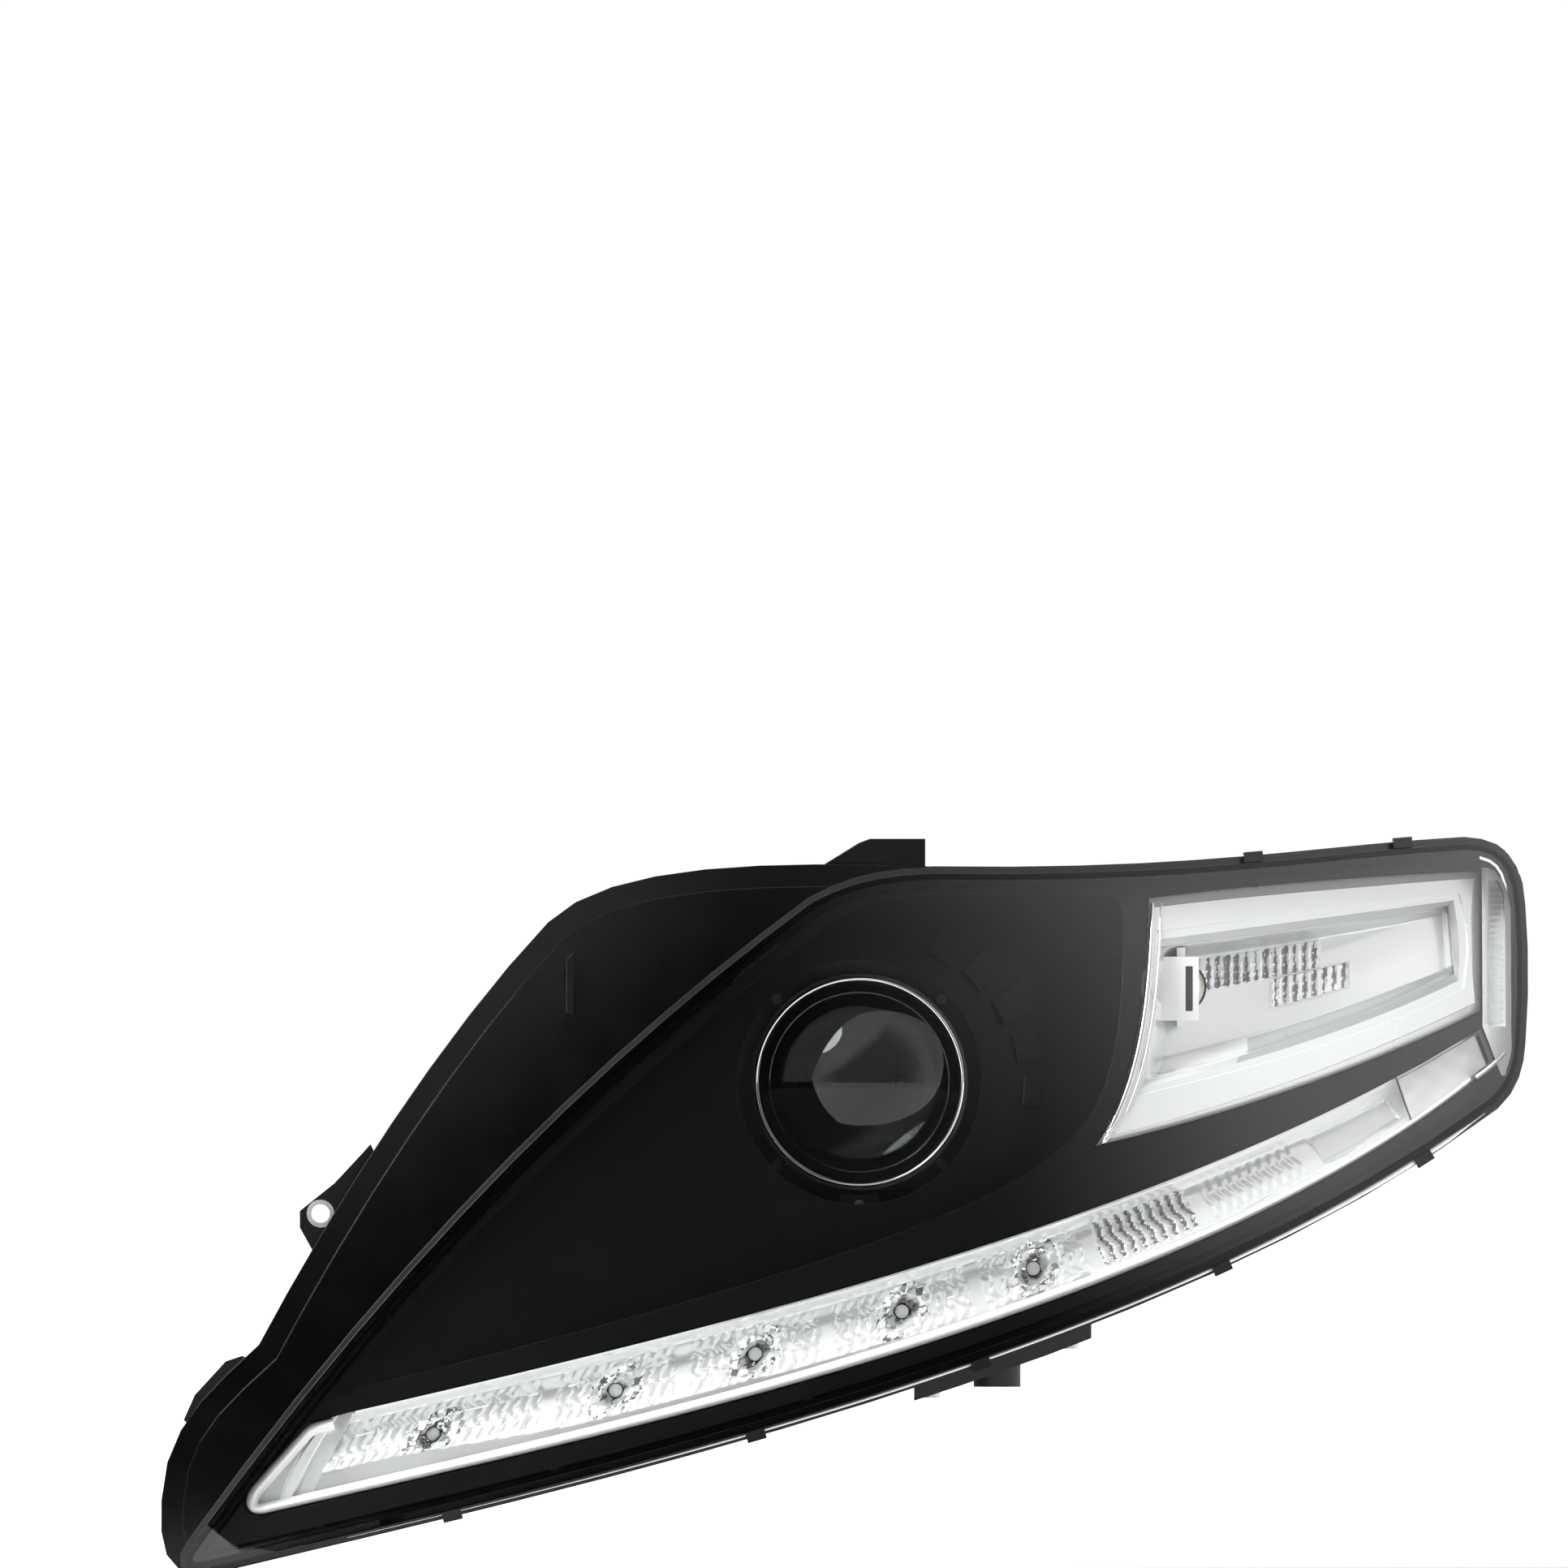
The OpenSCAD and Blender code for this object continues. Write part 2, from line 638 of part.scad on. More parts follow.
// ---------- aim frame and brackets ----------

frame_in = 51;            // inner radius of the aim frame
frame_out = 58;
frame_y = [pivot[1] - 7, pivot[1] + 7];
pin_r = 3;
pin_bore = pin_r + running;

// round bar along X from x0 to x1 at height z and depth y
module bar_x(r, x0, x1, y, z) translate([x0, y, z]) rotate([0, 90, 0]) cylinder(r = r, h = x1 - x0);
module bar_z(r, z0, z1, x, y) translate([x, y, z0]) cylinder(r = r, h = z1 - z0);

// bracket on the +X side; the other side is its mirror image
module pivot_bracket() difference() {
    union() {
        block([62.6, pivot[1] - 8, -8], [69, back_y - housing_wall, 8]);
        block([55, back_y - housing_wall - 5, -23], [77, back_y - housing_wall - touch, 23]);
        for (z = [-8, 5]) translate([0, 0, z]) linear_extrude(3)
            polygon([[62.8, 150], [77, back_y - 7], [77, back_y - 4], [62.8, back_y - 4]]);
    }
    bar_x(pin_r, 50, 68, pivot[1], 0);
    for (z = [-16, 16]) bar(1.8, back_y - 12, back_y, [66, z]);
}

module pivot_bracket_right() color("#3a3d40") difference() {
    pivot_bracket();
    bar(5, 120, back_y, adjust_at);
}

module pivot_bracket_left() color("#3a3d40") mirror([1, 0, 0]) pivot_bracket();

module bracket_screws() color("#b9bcc0") for (at = bracket_screw_at)
    screw_y(at, back_y + touch, 3.6, 1.75, 8);

module aim_frame() color("#7d8287") difference() {
    union() {
        tube(frame_in, frame_out, frame_y[0], frame_y[1]);
        for (s = [-1, 1]) {
            translate([0, pivot[1], 0]) rotate([0, s * 90, 0]) translate([0, 0, frame_in + 0.3])
                cylinder(r = 7, h = 10.6);
            translate([0, pivot[1], s > 0 ? frame_in + 0.3 : -frame_in - 8.3]) cylinder(r = 7, h = 8);
        }
        // arm with the socket of the levelling rod
        difference() {
            block([motor_at[0] - 8, frame_y[0] + 0.5, -level_arm - 8],
                [motor_at[0] + 8, frame_y[1] - 0.5, -42]);
            bar(frame_in + 1, 100, 150);
        }
    }
    bar_x(pin_bore, -70, -48, pivot[1], 0);
    bar_x(pin_bore, 48, 70, pivot[1], 0);
    bar_z(pin_r, -62, -48, 0, pivot[1]);
    bar_z(pin_r, 48, 62, 0, pivot[1]);
    bar_x(4.5, motor_at[0] - 10, motor_at[0] + 10, pivot[1], -level_arm);
    block([motor_at[0] - 10, pivot[1], -level_arm - 3.2],
        [motor_at[0] + 10, pivot[1] + 10, -level_arm + 3.2]);
}

module pitch_pins() color("#b9bcc0") for (s = [-1, 1])
    bar_x(pin_r, s > 0 ? 53 : -68, s > 0 ? 68 : -53, pivot[1], 0);

module swivel_pins() color("#b9bcc0") for (s = [-1, 1])
    bar_z(pin_r, s > 0 ? 42 : -59, s > 0 ? 59 : -42, 0, pivot[1]);

// ---------- projector ----------

hinge = [116, -28];       // Y and Z of the shutter's pin
seat_y = 88.1;            // front face of the lens holder
flange_y = 128;           // where the reflector bowl meets the lens holder
bowl_end = 190;
screw_ring = 42;
dome_r = 40.8;            // radius of the glass's front face
dome_y = 62;              // foremost point of the glass

module projector_glass() color([0.93, 0.96, 1, 0.35]) {
    intersection() {
        bar(glass_r, dome_y - 2, 85);
        translate([0, dome_y + dome_r, 0]) sphere(r = dome_r, $fn = 128);
    }
    bar(glass_r + 0.9, 84, 88);
}

module lens_ring() color("#d4d7da") turned([
    [glass_r + 0.1, 79.8], [glass_r + 0.6, 79.2], [ring_r - 0.5, 79.6], [ring_r, 80.6],
    [ring_r, 88], [glass_r + 0.95, 88], [glass_r + 0.95, 83.9], [glass_r + 0.1, 83.9]]);

module lens_holder() color("#2b2d30") difference() {
    union() {
        bar(39, seat_y, flange_y);
        bar(46, flange_y - 4, flange_y);
        for (z = [-49.4, 36]) block([-8, frame_y[0], z], [8, frame_y[1], z + 13.4]);
    }
    difference() {
        bar(36, seat_y + 3, 150);
        // ledges that keep the pin's ends
        for (s = [-1, 1]) block([s * 23 - 3, hinge[0] - 4, -34], [s * 23 + 3, hinge[0] + 4, -22]);
    }
    bar(33, seat_y - 1, 95);
    bar(37.7, flange_y, 150);
    // slot for the shutter's tail and holes for its pin
    block([-5, hinge[0] - 5, -46], [5, flange_y - 4.2, -32]);
    bar_x(1.5, -30, 30, hinge[0], hinge[1]);
    bar_z(pin_bore, -52, -41.9, 0, pivot[1]);
    bar_z(pin_bore, 41.9, 52, 0, pivot[1]);
    for (a = [45:90:315]) bar(1.8, 118, 136, screw_ring * [cos(a), sin(a)]);
    // cooling windows in the tube
    for (a = [-35, 35, 145, 215]) translate([0, 106, 0]) rotate([0, -a, 0])
        translate([34, -7, -6]) cube([8, 14, 12]);
}

nut_half = 6.5;           // half the width of the sideways aim nut
nut_bore = 5.4;           // wide enough for the screw over the whole aim range

bowl_out = [for (i = [0:14]) let (y = 3 + 54 * i / 14) [36 * sqrt(1 - pow(y / 68, 2)), flange_y + y]];
bowl_in = [for (i = [14:-1:0]) let (y = 59 * i / 14) [33.5 * sqrt(1 - pow(y / 65.5, 2)), flange_y + y]];

module reflector_bowl() color("#b4b7bb") difference() {
    union() {
        turned(concat(
            [[0, flange_y + touch], [46, flange_y + touch], [46, flange_y + 3], [37.5, flange_y + 3]],
            bowl_out, [[17.6, 186.4], [17.6, bowl_end], [0, bowl_end]]));
        // arm that carries the sideways aim nut
        block([26, 138, -28], [62, 149, -12]);
        block([26, flange_y + 2, -22], [43.5, 140, -18]);
        // carrier and ears of the bulb clip
        block([-20, 186, 8], [20, bowl_end, 23]);
        for (x = [-18.4, 14.6]) block([x, 186, 15], [x + 3.8, 198, 22.6]);
        block([-4, 186, -25], [4, bowl_end, -10]);
        block([-4, 186, -25], [4, 197, -22.4]);
    }
    turned(concat([[0, flange_y - 5], [33.5, flange_y - 5]], [for (i = [14:-1:0]) bowl_in[i]],
        [[0, flange_y + 59]]));
    bar(9, 180, 195);
    bar_x(0.95, -22, 22, clip_hinge[0], clip_hinge[1]);
    for (a = [45:90:315]) bar(1.8, 118, 136, screw_ring * [cos(a), sin(a)]);
    // room for the holder's swivel ears
    for (m = [0, 1]) mirror([0, 0, m]) block([-8.2, flange_y, 36.7], [8.2, flange_y + 7, 60]);
    // pocket for the nut and clearance for the screw
    block([swivel_arm - nut_half - touch, 140, adjust_at[1] - nut_half - touch],
        [swivel_arm + nut_half + touch, 150, adjust_at[1] + nut_half + touch]);
    bar(nut_bore, 130, 155, adjust_at);
}

module projector_screws() color("#b9bcc0") for (a = [45:90:315])
    screw_y(screw_ring * [cos(a), sin(a)], flange_y + 3.05, 3.2, 1.75, 7);

module shutter_pin() color("#b9bcc0") bar_x(1.5, -26, 26, hinge[0], hinge[1]);

module shutter() color("#6d7175") difference() {
    union() {
        intersection() {
            bar(33.4, hinge[0] - 0.6, hinge[0] + 0.6);
            block([-40, 100, -26.6], [40, 130, -1]);
        }
        bar_x(3, -9, 9, hinge[0], hinge[1]);
        block([-3, hinge[0] - 1, -46], [3, hinge[0] + 1, hinge[1] - 1]);
    }
    bar_x(1.5 + running, -40, 40, hinge[0], hinge[1]);
    // clear of the ledges that keep the pin's ends
    for (s = [-1, 1]) block([s * 27 - 7.4, 100, -27], [s * 27 + 7.4, 130, -21]);
}

coil_z = -44.5;

module solenoid() color("#3c4044") difference() {
    union() {
        block([-7, 94, -53], [7, 111, -40.2]);
        block([-3, 96, -41], [3, 109, -38.95]);
        block([-4, 94.5, -56], [4, 100, -52]);
    }
    bar(39.02, 90, 120);
    bar(2 + running, 93, 112, [0, coil_z]);
}

module plunger() color("#b9bcc0") bar(2, 97, 114.6, [0, coil_z]);

module low_beam_bulb() color([0.92, 0.94, 0.97, 0.6]) {
    bar(5.6, 158, 188);
    translate([0, 158, 0]) intersection() {
        sphere(r = 5.6);
        rotate([90, 0, 0]) cylinder(r = 6, h = 6);
    }
    bar(8.8, 187, bowl_end + 1);
    bar(13.4, bowl_end + touch, bowl_end + 2.8);
    for (s = [-1, 1]) block([s * 4 - 0.4, bowl_end + 2, -3.2], [s * 4 + 0.4, 202, 3.2]);
}

module bulb_plug() color("#2f3235") difference() {
    union() {
        block([-9.8, 194.8, -8], [9.8, 210, 8]);
        block([-7, 209, -6], [7, 214, 6]);
        block([-3, 196, 7], [3, 208, 9.4]);
    }
    for (s = [-1, 1]) {
        block([s * 4 - 0.8, 190, -3.7], [s * 4 + 0.8, 203, 3.7]);
        bar(1.3, 204, 216, [s * 4, 0]);
    }
}

clip_hinge = [194.2, 19]; // Y and Z of the spring clip's pivot
wire_r = 0.9;

module bulb_clip() color("#b9bcc0") {
    bar_x(wire_r, -19.6, 19.6, clip_hinge[0], clip_hinge[1]);
    for (s = [-1, 1]) translate([s * 11.7, clip_hinge[0], -20]) cylinder(r = wire_r, h = 39);
    bar_x(wire_r, -11.7, 11.7, clip_hinge[0], -20);
    for (s = [-1, 1]) translate([s * 11.7, clip_hinge[0], -20]) sphere(r = wire_r);
}

module aim_nut() color("#d9dadc") difference() {
    block([swivel_arm - nut_half, 140 + touch, adjust_at[1] - nut_half],
        [swivel_arm + nut_half, 148.6, adjust_at[1] + nut_half]);
    bar(nut_bore, 130, 155, adjust_at);
}

// ---------- levelling and adjusting ----------

module level_motor() color("#303336") difference() {
    union() {
        bar(14, 176, back_y + 4, motor_at);
        bar(10, 168, 177, motor_at);
        block([motor_at[0] - 18, back_y + 2.6, motor_at[1] - 15], [motor_at[0] + 18, 240, motor_at[1] + 15]);
        // fixing ears, in line with the two screws
        for (at = motor_screw_at) bar(5.5, back_y + 2.6, back_y + 6, at);
        // plug socket of the motor
        block([motor_at[0] - 30, 222, motor_at[1] - 7], [motor_at[0] - 16, 236, motor_at[1] + 7]);
    }
    block([motor_at[0] - 31, 223.6, motor_at[1] - 5.4], [motor_at[0] - 19, 234.4, motor_at[1] + 5.4]);
    bar(3 + running, 160, 242, motor_at);
    for (at = motor_screw_at) {
        bar(1.8, 200, 250, at);
        bar(4.2, back_y + 6, 250, at);
    }
}

module motor_screws() color("#b9bcc0") for (at = motor_screw_at) screw_y(at, back_y + 6.1, 3.6, 1.75, 10);

module level_rod() color("#e4e4e0") {
    bar(2.2, pivot[1] + 2, 160, motor_at);
    bar(3, 158, 226, motor_at);
    translate([motor_at[0], pivot[1], motor_at[1]]) sphere(r = 4);
}

module vertical_adjuster() color("#d9dadc") {
    bar(3, 232, 242, motor_at);
    bar(6.5, 240.2, 243, motor_at);
    translate([motor_at[0], 252, motor_at[1]]) rotate([90, 0, 0]) cylinder(r = 5, h = 10, $fn = 6);
}

module horizontal_adjuster() color("#d9dadc") {
    bar(3, 136, 226, adjust_at);
    bar(7.5, back_y + 3.2, back_y + 6, adjust_at);
    translate([adjust_at[0], 232, adjust_at[1]]) rotate([90, 0, 0]) cylinder(r = 5, h = 14, $fn = 6);
}

// ---------- covers, connectors and electronics on the back ----------

module low_beam_cap() color("#26282a") difference() {
    union() {
        bar(52, 222, 237.5);
        bar(30, 236, 241);
        for (a = [0:30:330]) translate([0, 229.5, 0]) rotate([0, a, 0])
            translate([51, 0, 0]) cube([4.4, 14, 6], center = true);
        block([-26, 240, -3], [26, 249, 3]);
    }
    bar(cap_r + 0.3, 220, 234.2);
    bar(40, 233, 236);
}

module turn_access_cap() color("#26282a") difference() {
    union() {
        bar(cap2_r + 3, cap2_wall_y + 3, cap2_wall_y + 16, cap2_at);
        block([cap2_at[0] - 18, cap2_wall_y + 15, cap2_at[1] - 2.5],
            [cap2_at[0] + 18, cap2_wall_y + 22, cap2_at[1] + 2.5]);
        for (a = [0:45:315]) translate([cap2_at[0], cap2_wall_y + 9.5, cap2_at[1]]) rotate([0, a, 0])
            translate([cap2_r + 2.6, 0, 0]) cube([3, 11, 5], center = true);
    }
    bar(cap2_r + 0.3, cap2_wall_y + 2, cap2_wall_y + 13.1, cap2_at);
}

module main_connector() color("#3a3d40") difference() {
    union() {
        block([plug_at[0] - 11.8, back_y - 7, plug_at[1] - 7.8], [plug_at[0] + 11.8, 228, plug_at[1] + 7.8]);
        block([plug_at[0] - 14.5, back_y + 2.1, plug_at[1] - 10.5],
            [plug_at[0] + 14.5, back_y + 4.6, plug_at[1] + 10.5]);
        block([plug_at[0] - 3, 216, plug_at[1] + 7], [plug_at[0] + 3, 226, plug_at[1] + 9.8]);
    }
    block([plug_at[0] - 10.2, 216, plug_at[1] - 6.2], [plug_at[0] + 10.2, 229, plug_at[1] + 6.2]);
    for (i = [-2:2], k = [-1, 1]) bar(0.62, 200, 220, plug_at + [i * 3.8, k * 3.3]);
}

module connector_pins() color("#c9b98a") for (i = [-2:2], k = [-1, 1])
    bar(0.6, 202, 226, plug_at + [i * 3.8, k * 3.3]);

module vent_caps() color("#3a3d40") for (at = vent_places) difference() {
    bar(10, back_y + 2, back_y + 11, at);
    bar(7.6, back_y + 1, back_y + 8.4, at);
    for (a = [0, 90]) translate([at[0], back_y + 4, at[1]]) rotate([0, a, 0]) cube([30, 5, 3], center = true);
}

module drl_driver() color("#9a9ea3") difference() {
    union() {
        block([driver_box[0][0], driver_box[0][1], driver_box[0][2]],
            [driver_box[1][0], 220, driver_box[1][2]]);
        for (i = [0:8]) block([driver_box[0][0] + 3 + i * 4.8, 219, driver_box[0][2] + 8],
            [driver_box[0][0] + 4.6 + i * 4.8, driver_box[1][1], driver_box[1][2] - 8]);
        block([driver_box[0][0] + 14, 219, driver_box[0][2] - 4],
            [driver_box[0][0] + 30, 228, driver_box[0][2] + 6]);
    }
    block([driver_box[0][0] + 15.5, 220.5, driver_box[0][2] - 5],
        [driver_box[0][0] + 28.5, 226.5, driver_box[0][2] + 4]);
    for (at = driver_screw_at) bar(1.6, back_y - 10, 240, at);
}

module driver_screws() color("#b9bcc0") for (at = driver_screw_at) screw_y(at, 220.1, 2.6, 1.25, 10);

// ---------- placing ----------

module placed() translate(-mount_at) children();

placed() housing();
placed() mount_sleeves();
placed() lower_foot();
placed() foot_screws();
placed() front_lens();
placed() lens_seal();
placed() lens_clips();
placed() bezel();
placed() bezel_screws();
placed() drl_reflector();
placed() drl_lip();
placed() drl_board();
placed() board_screws();
placed() drl_leds();
placed() position_reflector();
placed() position_holder();
placed() position_bulb();
placed() turn_frame();
placed() turn_reflector();
placed() turn_shield();
placed() turn_holder();
placed() turn_bulb();
placed() side_reflector();
placed() pivot_bracket_left();
placed() pivot_bracket_right();
placed() bracket_screws();
placed() aim_frame();
placed() pitch_pins();
placed() swivel_pins();
placed() lens_holder();
placed() projector_glass();
placed() lens_ring();
placed() reflector_bowl();
placed() projector_screws();
placed() shutter_pin();
placed() shutter();
placed() solenoid();
placed() plunger();
placed() low_beam_bulb();
placed() bulb_plug();
placed() bulb_clip();
placed() aim_nut();
placed() level_motor();
placed() motor_screws();
placed() level_rod();
placed() vertical_adjuster();
placed() horizontal_adjuster();
placed() low_beam_cap();
placed() turn_access_cap();
placed() main_connector();
placed() connector_pins();
placed() vent_caps();
placed() drl_driver();
placed() driver_screws();
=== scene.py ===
"""Looks of a car headlight assembly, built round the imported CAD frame.

Shapes are given in the lamp's own frame, in millimetres: the low beam axis runs along Y at X = Z = 0,
X points outboard, Y rearward and Z up. place() turns such a point into the row frame, in metres.
"""
import math
import random

import bmesh
import bpy
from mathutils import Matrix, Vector


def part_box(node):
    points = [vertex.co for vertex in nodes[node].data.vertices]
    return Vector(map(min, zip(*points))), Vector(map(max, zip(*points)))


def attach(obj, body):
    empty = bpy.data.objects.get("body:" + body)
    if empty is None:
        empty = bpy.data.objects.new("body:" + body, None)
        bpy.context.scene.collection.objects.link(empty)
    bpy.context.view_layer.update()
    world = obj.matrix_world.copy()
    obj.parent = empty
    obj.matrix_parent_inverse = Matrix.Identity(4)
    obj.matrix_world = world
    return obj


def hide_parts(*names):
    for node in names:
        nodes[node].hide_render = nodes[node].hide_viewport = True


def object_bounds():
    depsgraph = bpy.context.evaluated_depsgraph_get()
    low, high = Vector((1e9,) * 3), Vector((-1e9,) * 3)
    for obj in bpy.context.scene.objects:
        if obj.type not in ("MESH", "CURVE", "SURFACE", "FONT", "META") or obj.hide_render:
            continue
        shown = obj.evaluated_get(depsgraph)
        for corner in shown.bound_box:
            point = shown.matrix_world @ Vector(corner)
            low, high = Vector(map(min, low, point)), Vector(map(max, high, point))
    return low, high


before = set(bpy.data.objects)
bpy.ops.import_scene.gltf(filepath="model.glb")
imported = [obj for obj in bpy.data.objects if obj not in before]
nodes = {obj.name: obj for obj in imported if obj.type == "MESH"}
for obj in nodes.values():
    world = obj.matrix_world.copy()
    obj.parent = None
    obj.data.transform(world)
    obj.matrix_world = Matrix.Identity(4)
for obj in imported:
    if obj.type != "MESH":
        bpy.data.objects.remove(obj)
cad_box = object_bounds()
scene = bpy.context.scene
random.seed(46)

# ---------- the lamp's own frame ----------

RING_BACK = 88.0           # depth of the projector ring's rear edge
ring_lo, ring_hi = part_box("lens_ring")
ring_mid = (ring_lo + ring_hi) / 2
ORIGIN = Vector((ring_mid.x, ring_hi.y - RING_BACK / 1000, ring_mid.z))
FORM_R = 560.0             # radius of the cover's spherical front
FORM_C = Vector((-165.0, FORM_R - 26, -165.0))


def place(x, y, z):
    """A point of the lamp's own frame as a point of the row frame."""
    return Vector((x, y, z)) / 1000 + ORIGIN


def form_y(x, z, depth):
    """Depth Y of the surface that lies `depth` behind the cover's outer face."""
    return FORM_C.y - math.sqrt((FORM_R - depth) ** 2 - (x - FORM_C.x) ** 2 - (z - FORM_C.z) ** 2)


def on(p, t):
    """A point of the cubic curve with control points p, in the X-Z plane."""
    u = 1 - t
    return (Vector(p[0]) * u ** 3 + Vector(p[1]) * (3 * u * u * t)
            + Vector(p[2]) * (3 * u * t * t) + Vector(p[3]) * t ** 3)


def ramp(x, low, high):
    """0 below low, 1 above high, smooth between."""
    t = min(max((x - low) / (high - low), 0.0), 1.0)
    return t * t * (3 - 2 * t)


def chance(*key):
    """A number from 0 to 1 that depends only on the key."""
    return random.Random(":".join(str(k) for k in key)).random()


# ---------- materials ----------

def shader(name, colour, rough, **sockets):
    """A Principled material; a socket's name has underscores for its spaces."""
    m = bpy.data.materials.new(name)
    m.use_nodes = True
    b = m.node_tree.nodes["Principled BSDF"]
    b.inputs["Base Color"].default_value = (*colour, 1)
    b.inputs["Roughness"].default_value = rough
    for key, value in sockets.items():
        b.inputs[key.replace("_", " ")].default_value = value
    return m


def add(m, kind, **values):
    """A new node; values name its inputs or its own settings."""
    n = m.node_tree.nodes.new(kind)
    for key, value in values.items():
        if key.replace("_", " ") in n.inputs:
            n.inputs[key.replace("_", " ")].default_value = value
        else:
            setattr(n, key, value)
    return n


def link(m, a, out, b, into):
    m.node_tree.links.new(a.outputs[out], b.inputs[into])


def grain(m, size, strength, rough=None, tint=None, depth=0.05, edge=0.0):
    """Moulded or cast grain: bump of the given size in mm, patchy roughness, mottled colour, soft edges."""
    b = m.node_tree.nodes["Principled BSDF"]
    where = add(m, "ShaderNodeTexCoord")
    fine = add(m, "ShaderNodeTexNoise", Scale=1000 / size, Detail=3.0)
    link(m, where, "Object", fine, "Vector")
    bump = add(m, "ShaderNodeBump", Strength=strength, Distance=depth / 1000)
    link(m, fine, "Fac", bump, "Height")
    link(m, bump, "Normal", b, "Normal")
    if edge:
        soft = add(m, "ShaderNodeBevel", samples=4, Radius=edge / 1000)
        link(m, soft, "Normal", bump, "Normal")
    patches = add(m, "ShaderNodeTexNoise", Scale=1000 / (size * 40), Detail=4.0, Roughness=0.6)
    link(m, where, "Object", patches, "Vector")
    if rough:
        spread = add(m, "ShaderNodeMapRange", From_Min=0.3, From_Max=0.7,
                     To_Min=rough[0], To_Max=rough[1])
        link(m, patches, "Fac", spread, "Value")
        link(m, spread, "Result", b, "Roughness")
    if tint:
        mix = add(m, "ShaderNodeMix", data_type="RGBA")
        # inputs 6 and 7 and output 2 are this node's colours
        mix.inputs[6].default_value = b.inputs["Base Color"].default_value[:]
        mix.inputs[7].default_value = (*tint, 1)
        link(m, patches, "Fac", mix, 0)
        m.node_tree.links.new(mix.outputs[2], b.inputs["Base Color"])
    return m


def clear(name, colour, ior, rough=0.0):
    """Clear plastic or glass; light on its way to what it covers passes straight through."""
    m = shader(name, colour, rough, IOR=ior, Transmission_Weight=1.0)
    links = m.node_tree.links
    path = add(m, "ShaderNodeLightPath")
    through = add(m, "ShaderNodeBsdfTransparent", Color=(*colour, 1))
    surface = m.node_tree.nodes["Principled BSDF"].outputs[0]
    for ray in ("Is Diffuse Ray", "Is Shadow Ray"):
        mix = add(m, "ShaderNodeMixShader")
        link(m, path, ray, mix, 0)
        links.new(surface, mix.inputs[1])
        links.new(through.outputs[0], mix.inputs[2])
        surface = mix.outputs[0]
    links.new(surface, m.node_tree.nodes["Material Output"].inputs["Surface"])
    return m


def metal(name, colour, rough, size=0.8, strength=0.05, **sockets):
    """A metal or metallised finish with faint handling marks."""
    low, high = rough
    m = shader(name, colour, (low + high) / 2, **{"Metallic": 1.0, **sockets})
    return grain(m, size, strength, rough=rough, depth=0.02)


EDGE = 0.45                # radius of the softened edges of moulded pieces, mm


def plastic(name, colour, rough, size=0.6, strength=0.2, tint=None, **sockets):
    """A moulded plastic or rubber."""
    low, high = rough
    m = shader(name, colour, (low + high) / 2, **sockets)
    return grain(m, size, strength, rough=rough, tint=tint, edge=EDGE)


